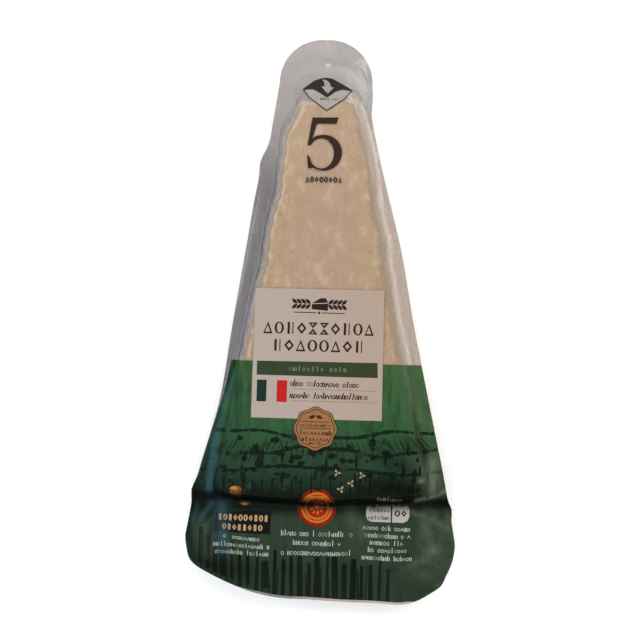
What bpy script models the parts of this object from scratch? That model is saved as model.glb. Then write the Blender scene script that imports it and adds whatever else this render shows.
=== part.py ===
"""Wedge of hard cheese sealed in a clear formed tray under a film lid, as one closed solid.

The pack rests on the flat base of its tray. Its nose points along +Y, the wide end with the
rind along -Y, and +Z is up. The origin is the middle of the footprint, on the surface it
stands on. The solid is a stack of closed loops with equal numbers of points: the base, the
tray's wall round the cheese, the underside of the sealed flange, its cut edge, the flange's
upper side, and the lid film up to the cheese's top face. The loops follow the cheese's
footprint, and each point of the flange's edge lies straight out from a point of that footprint.
"""
import bmesh
import bpy
import math
import numpy as np

MM = 0.001

# Outline of the flange, seen from above, in millimetres before it is centred. Each side is a
# smooth line through (x, y) stations, and each corner is a quarter of an ellipse.
FLANGE_RIGHT = ((53.3, -86.0), (48.5, -60.0), (42.5, -32.0), (35.7, 0.0),
                (30.1, 30.0), (23.8, 55.0), (19.0, 75.0), (17.9, 95.0))
FLANGE_LEFT = ((-18.8, 95.0), (-22.0, 75.0), (-26.8, 55.0), (-30.9, 30.0),
               (-35.8, 0.0), (-40.8, -32.0), (-48.6, -60.0), (-53.3, -84.0))
FLANGE_NOSE_END = ((1.2, 112.0), (-2.0, 112.0))
FLANGE_TAIL_END = ((-5.0, -109.4), (30.5, -111.0))

# Footprint of the cheese, a sector of a flat round with a blunt nose. The side runs through
# (x, y) stations from the corner of the rind past the nose's shoulder.
CHEESE_SIDE = ((40.6, -62.0), (29.0, 0.0), (19.8, 50.0), (16.4, 69.0), (10.6, 85.5))
CHEESE_NOSE_Y = 89.5
CHEESE_RIND_Y = -67.0
CHEESE_NOSE_HALF = 9.2
CHEESE_RIND_HALF = 41.5
CHEESE_RIND_BOW = 2.0
CHEESE_NOSE_ROUND = 4.0
CHEESE_RIND_ROUND = 5.0
CHEESE_OFF_CENTRE = 0.2

# Levels above the surface that the pack stands on.
LID_LEVEL = 21.5
FLANGE_LEVEL = 18.6
GROOVE_DEPTH = 0.5
FLANGE_THICKNESS = 0.7
BASE_FILLET = 3.4

# How far the lid film runs down from the cheese's top edge before it meets the flange, and
# the most of the way to the flange's edge that this may take. An edge that faces the nose by
# more than SIDE_LEAN counts towards the nose.
REACH_SIDE = 2.6
REACH_NOSE = 12.0
REACH_RIND = 4.7
REACH_SHARE = 0.6
SIDE_LEAN = 0.25
GROOVE_WIDTH = 1.5
DROP_SHAPE = 1.3

# How closely the tray clings to the cheese, and how it flares up to the flange.
CLING = 0.4
SEAL_LAND = 1.0
FLARE_POWER = 2.2

# Relief of the flange: it fades in over a share of the way out from the groove.
RELIEF_EASE = 0.33
TAIL_DROOP = 1.6
RIPPLE_HEIGHT = 0.55
RIPPLE_LENGTH = 27.0
RIPPLE_SLANT = 0.25
TAIL_EASE = 16.0
FOLD_HEIGHT = 0.9
FOLD_WIDTH = 2.4
FOLD_WIDENING = 0.10
FOLD_RISE = 7.0
FOLD_LENGTH = 40.0
FOLD_SPREAD = (0.30, -0.15, -0.62)

# The domed corner that starts the peel.
PEEL_CENTRE = (13.6, 95.5)
PEEL_HALF_SIZE = (4.8, 9.0)
PEEL_HEIGHT = 1.4
PEEL_FLATNESS = 1.4

# Steps along the cheese's footprint, and along each run of the flange's outline.
RIND_STEPS = 14
RIND_CORNER_STEPS = 16
SIDE_STEPS = 26
NOSE_CORNER_STEPS = 9
NOSE_STEPS = 2
OUTLINE_STEPS = 30

# Steps up the tray's wall, down the lid film and across the flange.
WALL_SHARES = (0.30, 0.55, 0.75, 0.90)
FILLET_STEPS = 4
DROP_SHARES = (0.12, 0.35, 0.65)
FLANGE_RINGS = 6
TOP_INSET = 0.8

PACK_COLOUR = (0.55, 0.47, 0.36, 1.0)


def smooth_step(value):
    """Ease from 0 to 1 as value goes from 0 to 1."""
    clipped = np.clip(value, 0.0, 1.0)
    return clipped * clipped * (3.0 - 2.0 * clipped)


def side_run(stations, count):
    """Points of a smooth line through the stations, evenly spaced in y, without the last one."""
    xs, ys = np.array(stations).T
    leans = np.gradient(xs, ys)
    points = []
    for y in np.linspace(ys[0], ys[-1], count, endpoint=False):
        span = np.nonzero((ys[:-1] - y) * (ys[1:] - y) <= 0.0)[0][0]
        height = ys[span + 1] - ys[span]
        t = (y - ys[span]) / height
        near = 2.0 * t**3 - 3.0 * t**2 + 1.0
        place = near * xs[span] + (1.0 - near) * xs[span + 1]
        lean = (t**3 - 2.0 * t**2 + t) * leans[span] + (t**3 - t**2) * leans[span + 1]
        points.append((place + height * lean, y))
    return points


def straight_run(start, end, count, bow=0.0):
    """Points from start towards end, without the end, pushed to the right of the way by bow."""
    first = np.array(start)
    way = np.array(end) - first
    aside = np.array((way[1], -way[0])) / np.linalg.norm(way)
    shares = np.arange(count) / count
    return [tuple(first + way * t + aside * bow * 4.0 * t * (1.0 - t)) for t in shares]


def corner_run(start, vertex, end, count):
    """A quarter of an ellipse that leaves start towards vertex and arrives at end, without it."""
    corner = np.array(vertex)
    from_start = np.array(start) - corner
    to_end = np.array(end) - corner
    angles = 0.5 * math.pi * np.arange(count) / count
    return [tuple(corner + from_start * (1.0 - math.sin(angle)) + to_end * (1.0 - math.cos(angle)))
            for angle in angles]


def flange_outline():
    """The flange's cut edge, anticlockwise from above, with its box centred on the origin."""
    tail_left, tail_right = FLANGE_TAIL_END
    nose_right, nose_left = FLANGE_NOSE_END
    right_tail, right_nose = FLANGE_RIGHT[0], FLANGE_RIGHT[-1]
    left_nose, left_tail = FLANGE_LEFT[0], FLANGE_LEFT[-1]
    points = straight_run(tail_left, tail_right, OUTLINE_STEPS)
    points += corner_run(tail_right, (right_tail[0], tail_right[1]), right_tail, OUTLINE_STEPS)
    points += side_run(FLANGE_RIGHT, OUTLINE_STEPS)
    points += corner_run(right_nose, (right_nose[0], nose_right[1]), nose_right, OUTLINE_STEPS)
    points += straight_run(nose_right, nose_left, OUTLINE_STEPS)
    points += corner_run(nose_left, (left_nose[0], nose_left[1]), left_nose, OUTLINE_STEPS)
    points += side_run(FLANGE_LEFT, OUTLINE_STEPS)
    points += corner_run(left_tail, (left_tail[0], tail_left[1]), tail_left, OUTLINE_STEPS)
    outline = np.array(points)
    return outline - 0.5 * (outline.min(axis=0) + outline.max(axis=0))


def cheese_outline():
    """The cheese's footprint, anticlockwise from above."""
    low, high = CHEESE_SIDE[0], CHEESE_SIDE[-1]
    rind_end = CHEESE_RIND_HALF - CHEESE_RIND_ROUND
    nose_end = CHEESE_NOSE_HALF - CHEESE_NOSE_ROUND
    lift = 2.0 * CHEESE_RIND_BOW / rind_end * CHEESE_RIND_ROUND
    corner_x = CHEESE_RIND_HALF - lift * (CHEESE_RIND_HALF - low[0]) / CHEESE_RIND_ROUND
    right_side = corner_run((rind_end, CHEESE_RIND_Y), (corner_x, CHEESE_RIND_Y + lift), low,
                            RIND_CORNER_STEPS)
    right_side += side_run(CHEESE_SIDE, SIDE_STEPS)
    right_side += corner_run(high, (CHEESE_NOSE_HALF, CHEESE_NOSE_Y), (nose_end, CHEESE_NOSE_Y),
                             NOSE_CORNER_STEPS)
    right_side += straight_run((nose_end, CHEESE_NOSE_Y), (0.0, CHEESE_NOSE_Y), NOSE_STEPS)
    left_side = [(-x, y) for x, y in right_side[:0:-1]]
    points = straight_run((-rind_end, CHEESE_RIND_Y), (rind_end, CHEESE_RIND_Y),
                          RIND_STEPS, CHEESE_RIND_BOW)
    points += right_side + [(0.0, CHEESE_NOSE_Y)] + left_side
    return np.array(points) + np.array((CHEESE_OFF_CENTRE, 0.0))


def outward(loop):
    """Unit vectors that point out of an anticlockwise loop, one at each of its points."""
    along = np.roll(loop, -1, axis=0) - np.roll(loop, 1, axis=0)
    normals = np.stack((along[:, 1], -along[:, 0]), axis=1)
    return normals / np.linalg.norm(normals, axis=1)[:, None]


def distance_out(points, ways, outline):
    """How far each point is from the outline, straight along its own way."""
    spans = np.roll(outline, -1, axis=0) - outline
    distances = []
    for point, way in zip(points, ways):
        offset = outline - point
        across = way[0] * spans[:, 1] - way[1] * spans[:, 0]
        across = np.where(np.abs(across) < 1e-9, 1e-9, across)
        far = (offset[:, 0] * spans[:, 1] - offset[:, 1] * spans[:, 0]) / across
        share = (offset[:, 0] * way[1] - offset[:, 1] * way[0]) / across
        hits = (far > 0.0) & (share >= 0.0) & (share <= 1.0)
        distances.append(far[hits].min())
    return np.array(distances)


def film_reach(normals, gap):
    """How far the lid film runs out from each point of the cheese's edge, within the flange."""
    to_nose = smooth_step((normals[:, 1] - SIDE_LEAN) / (1.0 - SIDE_LEAN))
    to_rind = smooth_step(-normals[:, 1])
    reach = REACH_SIDE + (REACH_NOSE - REACH_SIDE) * to_nose + (REACH_RIND - REACH_SIDE) * to_rind
    return np.minimum(reach, REACH_SHARE * gap)


def fold_relief(points):
    """Height of the folds that run from the corners of the rind to the corners of the pack."""
    relief = np.zeros(len(points))
    for side in (-1.0, 1.0):
        start = np.array((side * CHEESE_RIND_HALF, CHEESE_RIND_Y - 1.0))
        for order, spread in enumerate(FOLD_SPREAD):
            angle = side * spread - 0.5 * math.pi
            way = np.array((math.cos(angle), math.sin(angle)))
            along = (points - start) @ way
            aside = (points - start) @ np.array((-way[1], way[0]))
            width = FOLD_WIDTH + FOLD_WIDENING * np.clip(along, 0.0, None)
            fade = smooth_step(along / FOLD_RISE) * smooth_step(1.5 - along / FOLD_LENGTH)
            sign = 1.0 - 2.0 * (order % 2)
            relief += sign * FOLD_HEIGHT * fade * np.exp(-(aside / width) ** 2)
    return relief


def flange_relief(points):
    """Height of the flange above its plain level: droop, ripples, folds and the peel dome."""
    beyond_rind = np.clip(CHEESE_RIND_Y - points[:, 1], 0.0, None)
    tail = smooth_step(beyond_rind / TAIL_EASE)
    droop = -TAIL_DROOP * (beyond_rind / (CHEESE_RIND_Y - FLANGE_TAIL_END[1][1])) ** 2
    phase = 2.0 * math.pi * (points[:, 0] + RIPPLE_SLANT * points[:, 1]) / RIPPLE_LENGTH
    ripple = RIPPLE_HEIGHT * tail * np.sin(phase)
    share_out = np.linalg.norm((points - np.array(PEEL_CENTRE)) / np.array(PEEL_HALF_SIZE), axis=1)
    peel = PEEL_HEIGHT * smooth_step(PEEL_FLATNESS * (1.0 - share_out))
    return droop + ripple + tail * fold_relief(points) + peel


def tray_loops(cheese, normals, reach):
    """Loops from the flat base up the tray's wall to just under the flange."""
    loops = []
    for angle in np.linspace(0.0, 0.5 * math.pi, FILLET_STEPS + 1):
        inset = CLING - BASE_FILLET * (1.0 - math.sin(angle))
        loops.append((cheese + normals * inset, BASE_FILLET * (1.0 - math.cos(angle))))
    top = FLANGE_LEVEL - FLANGE_THICKNESS - GROOVE_DEPTH
    for share in WALL_SHARES:
        offset = CLING + (reach - SEAL_LAND) * share**FLARE_POWER
        level = BASE_FILLET + (top - BASE_FILLET) * share
        loops.append((cheese + normals * offset[:, None], level))
    return loops


def flange_loops(cheese, normals, reach, gap):
    """Loops over the flange from the groove beside the cheese out to the cut edge."""
    loops = [(cheese + normals * reach[:, None], FLANGE_LEVEL - GROOVE_DEPTH)]
    for ring in range(FLANGE_RINGS + 1):
        t = ring / FLANGE_RINGS
        offset = (reach + GROOVE_WIDTH) * (1.0 - t) + gap * t
        points = cheese + normals * offset[:, None]
        loops.append((points, FLANGE_LEVEL + flange_relief(points) * smooth_step(t / RELIEF_EASE)))
    return loops


def lid_loops(cheese, normals, reach):
    """Loops of the lid film from the edge of the cheese's top face down to the groove."""
    drop = LID_LEVEL - FLANGE_LEVEL + GROOVE_DEPTH
    loops = [(cheese - normals * TOP_INSET, LID_LEVEL)]
    for share in DROP_SHARES:
        level = LID_LEVEL - drop * math.sin(0.5 * math.pi * share) ** DROP_SHAPE
        loops.append((cheese + normals * (reach * share)[:, None], level))
    return loops


def bridge(mesh, lower, upper):
    """Join two rings of vertices, the lower one first, with faces that point outwards."""
    count = len(lower)
    for index in range(count):
        after = (index + 1) % count
        mesh.faces.new((lower[index], lower[after], upper[after], upper[index]))


def add_ring(mesh, loop, level):
    """Make the vertices of one loop at one level, or at a level for each point."""
    levels = np.broadcast_to(level, (len(loop),))
    return [mesh.verts.new((x * MM, y * MM, z * MM)) for (x, y), z in zip(loop, levels)]


def pack_mesh():
    """The whole pack as one closed surface."""
    cheese = cheese_outline()
    normals = outward(cheese)
    gap = distance_out(cheese, normals, flange_outline())
    reach = film_reach(normals, gap)
    upper_side = flange_loops(cheese, normals, reach, gap)
    stack = tray_loops(cheese, normals, reach)
    stack += [(loop, level - FLANGE_THICKNESS) for loop, level in upper_side]
    stack += upper_side[::-1]
    stack += lid_loops(cheese, normals, reach)[::-1]
    mesh = bmesh.new()
    rings = [add_ring(mesh, loop, level) for loop, level in stack]
    for lower, upper in zip(rings, rings[1:]):
        bridge(mesh, lower, upper)
    mesh.faces.new(rings[0][::-1])
    mesh.faces.new(rings[-1])
    data = bpy.data.meshes.new("sealed_pack")
    mesh.to_mesh(data)
    mesh.free()
    return data


def clear_film_material():
    """Film over cheese: a pale straw colour under a soft gloss."""
    material = bpy.data.materials.new("film_over_cheese")
    material.use_nodes = True
    shader = material.node_tree.nodes["Principled BSDF"]
    shader.inputs["Base Color"].default_value = PACK_COLOUR
    shader.inputs["Roughness"].default_value = 0.25
    shader.inputs["Metallic"].default_value = 0.0
    return material


def build():
    """Empty the scene and make the pack in it."""
    for old in list(bpy.data.objects):
        bpy.data.objects.remove(old)
    data = pack_mesh()
    data.materials.append(clear_film_material())
    data.shade_smooth()
    data.set_sharp_from_angle(angle=math.radians(40.0))
    pack = bpy.data.objects.new("sealed_pack", data)
    bpy.context.scene.collection.objects.link(pack)


build()
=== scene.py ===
"""Looks of a wedge of hard cheese in its vacuum pack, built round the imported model.

The pack lies on its tray with the printed lid up. Its nose points along +Y, the wide end with
the rind along -Y, and +X is to the right. The cheese, the formed tray film, the lid film and
every field of print are pieces of their own. Forms are worked out in millimetres and made into
meshes in metres. The print has a frame of its own, turned a little on the pack.
"""

import functools
import logging
import math
from dataclasses import dataclass
from enum import Enum
from typing import Any, Callable, Iterable, Sequence

import bpy
import numpy as np
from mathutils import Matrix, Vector, geometry, noise
from mathutils.bvhtree import BVHTree


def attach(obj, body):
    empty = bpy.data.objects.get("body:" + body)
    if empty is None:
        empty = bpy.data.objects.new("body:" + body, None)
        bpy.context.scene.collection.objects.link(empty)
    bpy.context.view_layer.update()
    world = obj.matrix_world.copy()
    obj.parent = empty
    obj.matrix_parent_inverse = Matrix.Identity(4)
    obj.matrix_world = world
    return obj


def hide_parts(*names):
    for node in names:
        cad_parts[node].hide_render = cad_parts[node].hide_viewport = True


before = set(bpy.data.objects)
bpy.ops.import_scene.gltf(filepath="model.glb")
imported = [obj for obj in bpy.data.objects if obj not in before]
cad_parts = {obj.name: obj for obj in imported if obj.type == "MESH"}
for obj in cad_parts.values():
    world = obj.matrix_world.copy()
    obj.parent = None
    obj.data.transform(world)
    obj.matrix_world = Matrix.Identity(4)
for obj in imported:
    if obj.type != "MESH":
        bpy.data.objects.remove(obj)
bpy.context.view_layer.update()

LOG = logging.getLogger("cheese_pack")
MM = 0.001
BODY = "root"
PACK_NODE = "sealed_pack"

Colour = tuple[float, float, float, float]
Face = tuple[int, ...]
Place = tuple[float, float]

# How bright a white card looks in the studio's light: base colours are divided by it.
LIGHT_GAIN = 1.50

# Way of filling outlines in geometry.delaunay_2d_cdt: all triangles inside the outermost one.
INSIDE = 1
POINT_MERGE = 1e-5
# How far inner points stay from a rim, as a share of the triangles' sides; caps keep farther off.
RIM_MARGIN = 0.45
CAP_MARGIN = 0.6
TINY = 1e-12


def tone(red: float, green: float, blue: float, dim: float = 1.0) -> Colour:
    """Base colour that looks like a display colour once the studio's light falls on it.

    Args:
        red: Display value from 0 to 255.
        green: Display value from 0 to 255.
        blue: Display value from 0 to 255.
        dim: Factor on the linear colour.

    Returns:
        The linear colour with full alpha.
    """
    linear = []
    for value in (red, green, blue):
        share = value / 255.0
        low = share / 12.92
        high = ((share + 0.055) / 1.055) ** 2.4
        linear.append((low if share <= 0.04045 else high) / LIGHT_GAIN * dim)
    return (*linear, 1.0)


def dimmed(colour: Colour, share: float) -> Colour:
    """A darker kind of a colour."""
    return (*(value * share for value in colour[:3]), 1.0)


# ---- node boards ----


class Signal:
    """An output socket that takes part in arithmetic; each operation adds a Math node."""

    def __init__(self, board: "NodeBoard", socket: bpy.types.NodeSocket) -> None:
        """Wrap one socket of a board."""
        self.board = board
        self.socket = socket

    def output(self, name: str) -> "Signal":
        """Another output of the same node."""
        return Signal(self.board, self.socket.node.outputs[name])

    def __add__(self, other: "Signal | float") -> "Signal":
        """Sum."""
        return self.board.math("ADD", self, other)

    def __sub__(self, other: "Signal | float") -> "Signal":
        """Difference."""
        return self.board.math("SUBTRACT", self, other)

    def __rsub__(self, other: float) -> "Signal":
        """Difference from a number."""
        return self.board.math("SUBTRACT", other, self)

    def __mul__(self, other: "Signal | float") -> "Signal":
        """Product."""
        return self.board.math("MULTIPLY", self, other)

    def __truediv__(self, other: "Signal | float") -> "Signal":
        """Quotient."""
        return self.board.math("DIVIDE", self, other)

    def __pow__(self, other: "Signal | float") -> "Signal":
        """Power."""
        return self.board.math("POWER", self, other)

    def __abs__(self) -> "Signal":
        """Value without its sign."""
        return self.board.math("ABSOLUTE", self)

    __radd__ = __add__
    __rmul__ = __mul__


class NodeBoard:
    """One node tree, of a material or of Geometry Nodes, and the making of its nodes."""

    def __init__(self, tree: bpy.types.NodeTree) -> None:
        """Wrap a tree."""
        self.tree = tree

    def add(self, kind: str, settings: dict[str, Any] | None = None,
            sockets: dict[str | int, Any] | None = None, output: int | str = 0) -> Signal:
        """Make a node.

        Args:
            kind: The node's type.
            settings: Its own settings, set first; "stops" holds a colour ramp's stops.
            sockets: Values or links of its inputs, by name or number; a list links each entry.
            output: Which output to give back.

        Returns:
            The chosen output, or the first input of a node without outputs.
        """
        node = self.tree.nodes.new(kind)
        for name, value in (settings or {}).items():
            if name == "stops":
                self._set_stops(node.color_ramp, value)
            else:
                setattr(node, name, value)
        for key, value in (sockets or {}).items():
            for entry in value if isinstance(value, list) else [value]:
                if isinstance(entry, Signal):
                    self.tree.links.new(entry.socket, node.inputs[key])
                else:
                    node.inputs[key].default_value = entry
        return Signal(self, node.outputs[output] if len(node.outputs) else node.inputs[0])

    @staticmethod
    def _set_stops(ramp: bpy.types.ColorRamp, stops: Sequence[tuple[float, Colour]]) -> None:
        """Give a colour ramp its stops, as (place, colour) pairs.

        Args:
            ramp: The ramp.
            stops: Its stops.
        """
        while len(ramp.elements) < len(stops):
            ramp.elements.new(1.0)
        for element, (place, colour) in zip(ramp.elements, stops):
            element.position = place
            element.color = colour

    def math(self, operation: str, *values: Signal | float) -> Signal:
        """A Math node on values."""
        return self.add("ShaderNodeMath", {"operation": operation}, dict(enumerate(values)))

    def ease(self, value: Signal, low: float, high: float) -> Signal:
        """Smooth step from 0 at low to 1 at high."""
        return self.add("ShaderNodeMapRange", {"interpolation_type": "SMOOTHSTEP"},
                        {"Value": value, "From Min": low, "From Max": high})

    def band(self, value: Signal, low: float, high: float, soft: float) -> Signal:
        """1 between low and high, with soft borders."""
        rise = self.ease(value, low - soft, low + soft)
        return rise * (1.0 - self.ease(value, high - soft, high + soft))

    def blend(self, share: Signal | float, first: Signal | Colour,
              second: Signal | Colour) -> Signal:
        """Colour between the first, at share 0, and the second, at share 1."""
        return self.add("ShaderNodeMix", {"data_type": "RGBA"}, {0: share, 6: first, 7: second}, 2)

    def layered(self, colour: Signal | Colour,
                *coats: tuple[Signal | float, Signal | Colour]) -> Signal:
        """The colour under coats, each a share and its colour, the last one on top.

        Args:
            colour: The lowest colour.
            coats: Pairs of a share and a colour.

        Returns:
            The colour on top.
        """
        for share, coat in coats:
            colour = self.blend(share, colour, coat)
        return colour

    def place(self) -> Signal:
        """Object coordinates in millimetres."""
        metres = self.add("ShaderNodeTexCoord", output="Object")
        return self.add("ShaderNodeVectorMath", {"operation": "SCALE"},
                        {0: metres, "Scale": 1.0 / MM})

    def axes(self, place: Signal) -> tuple[Signal, Signal, Signal]:
        """The three coordinates of a place."""
        split = self.add("ShaderNodeSeparateXYZ", sockets={0: place})
        return split.output("X"), split.output("Y"), split.output("Z")

    def vector(self, **parts: Signal | float) -> Signal:
        """A vector of X, Y and Z; those left out are 0."""
        return self.add("ShaderNodeCombineXYZ", sockets=parts)

    def cloud(self, place: Signal, waves: float | tuple[float, float, float],
              detail: float = 3.0) -> Signal:
        """Soft noise from 0 to 1.

        Args:
            place: Where it is read.
            waves: Waves to the millimetre, one number or one for each axis.
            detail: How many finer noises lie on it.

        Returns:
            The noise.
        """
        if isinstance(waves, tuple):
            place = self.add("ShaderNodeVectorMath", {"operation": "MULTIPLY"}, {0: place, 1: waves})
            waves = 1.0
        return self.add("ShaderNodeTexNoise", sockets={"Vector": place, "Scale": waves,
                                                       "Detail": detail})

    def bump(self, height: Signal, strength: float, distance: float) -> Signal:
        """Normal bent by a height, with the distance in millimetres."""
        return self.add("ShaderNodeBump", sockets={"Height": height, "Strength": strength,
                                                   "Distance": distance * MM})

    def attribute(self, name: str) -> Signal:
        """A number that the mesh carries."""
        return self.add("ShaderNodeAttribute", {"attribute_name": name}, output="Fac")

    def skin(self, colour: Signal | Colour, roughness: Signal | float,
             **sockets: Signal | float | Colour) -> Signal:
        """A Principled surface; a socket's name has lines in place of its spaces."""
        named = {name.replace("_", " "): value for name, value in sockets.items()}
        return self.add("ShaderNodeBsdfPrincipled",
                        sockets={"Base Color": colour, "Roughness": roughness, **named})

    def mixed(self, share: Signal | float, first: Signal, second: Signal) -> Signal:
        """A surface between the first, at share 0, and the second, at share 1."""
        return self.add("ShaderNodeMixShader", sockets={0: share, 1: first, 2: second})


# ---- finishes ----


@dataclass(frozen=True)
class Finish:
    """A named finish; each kind says how its surface is made."""

    name: str

    def surface(self, board: NodeBoard) -> Signal:
        """The shader of this finish."""
        raise NotImplementedError

    @functools.cache
    def material(self) -> bpy.types.Material:
        """The Blender material of this finish, made once.

        Returns:
            The material.
        """
        made = bpy.data.materials.new(self.name)
        made.use_nodes = True
        made.node_tree.nodes.clear()
        board = NodeBoard(made.node_tree)
        board.add("ShaderNodeOutputMaterial", sockets={"Surface": self.surface(board)})
        return made


@dataclass(frozen=True)
class FloorFinish(Finish):
    """Plain pale studio floor with a faint glow that keeps shadows light."""

    colour: Colour = (0.93, 0.93, 0.935, 1.0)
    wash: Colour = (0.80, 0.80, 0.81, 1.0)
    glow: float = 0.16

    def surface(self, board: NodeBoard) -> Signal:
        """Matt and nearly even."""
        shade = board.blend(board.cloud(board.place(), 0.004, 1.0) * 0.03, self.colour, self.wash)
        return board.skin(shade, 0.9, Specular_IOR_Level=0.1, Emission_Color=self.colour,
                          Emission_Strength=self.glow)


@dataclass(frozen=True)
class CheeseFinish(Finish):
    """Pale straw paste with cloudy mottling and an amber rind at the wide end."""

    paste: Colour = tone(192, 157, 129)
    pale: Colour = tone(192, 160, 122)
    deep: Colour = tone(178, 140, 100)
    crumb: Colour = tone(217, 194, 165)
    # rim: painted light along the cheese's top edge, which lifts the shade that falls on its rounded
    # edge.
    rim: Colour = tone(238, 208, 176)
    rind_edge: Colour = tone(196, 152, 102)
    rind: Colour = tone(166, 116, 64)
    rind_from: float = -57.5
    rind_full: float = -67.6

    def surface(self, board: NodeBoard) -> Signal:
        """Paste, its grain, a painted light along its top edge, and the rind that darkens towards the
        outside of the round.

        Args:
            board: The material's board.

        Returns:
            The shader.
        """
        place = board.place()
        _, y, _ = board.axes(place)
        out = board.attribute("out")
        clouds = board.cloud(place, 0.09)
        grain = board.cloud(place, 1.5, 5.0)
        crumbs = board.add("ShaderNodeTexVoronoi", sockets={"Vector": place, "Scale": 0.8})
        streaks = board.cloud(place, (0.6, 0.06, 0.4), 2.0)
        patches = board.cloud(place, (0.26, 0.15, 0.2), 5.0)
        flakes = board.cloud(place, (0.95, 0.50, 0.7), 4.0)
        inner = 1.0 - board.ease(out * -1.0 + (clouds - 0.5) * 9.0, 4.0, 12.0)
        near_edge = board.ease(out, -11.0, -2.0)
        wander = (board.cloud(place, 0.25) - 0.5) * 3.0
        towards_rind = board.ease((y + wander) * -1.0, -self.rind_from, -self.rind_full + 1.0)
        skin = board.ease(y * -1.0 + (grain - 0.5), -self.rind_full - 2.2, -self.rind_full + 0.1)
        colour = board.layered(
            self.paste, (inner, self.pale),
            (board.ease(patches, 0.50, 0.66) * (near_edge * 0.22 + 0.30), self.deep),
            (board.ease(patches * -1.0, -0.46, -0.34) * 0.42, self.crumb),
            (board.ease(flakes, 0.56, 0.70) * (near_edge * 0.35 + 0.22), self.crumb),
            (board.ease(streaks, 0.48, 0.80) * 0.18, self.deep),
            (board.ease(grain, 0.55, 0.85) * 0.22, self.deep),
            # Painted light just inside the cheese's outline.
            (board.ease(out, -2.4, -0.5) * 0.85, self.rim),
            (towards_rind * 0.8, self.rind_edge), (skin * 0.9, self.rind))
        relief = grain * 0.5 + crumbs * 0.3 + clouds * 0.15 + flakes * 1.4 + patches * 0.8
        return board.skin(colour, 0.42 + grain * 0.2, Specular_IOR_Level=0.4,
                          Normal=board.bump(relief, 0.45, 0.5))


@dataclass(frozen=True)
class CrystalFinish(Finish):
    """Small whitish crystals of an aged cheese."""

    colour: Colour = tone(214, 198, 176)

    def surface(self, board: NodeBoard) -> Signal:
        """Pale, a little uneven, slightly glossy."""
        uneven = board.cloud(board.place(), 2.0, 2.0)
        return board.skin(board.blend(uneven, self.colour, dimmed(self.colour, 0.85)), 0.35)


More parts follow.
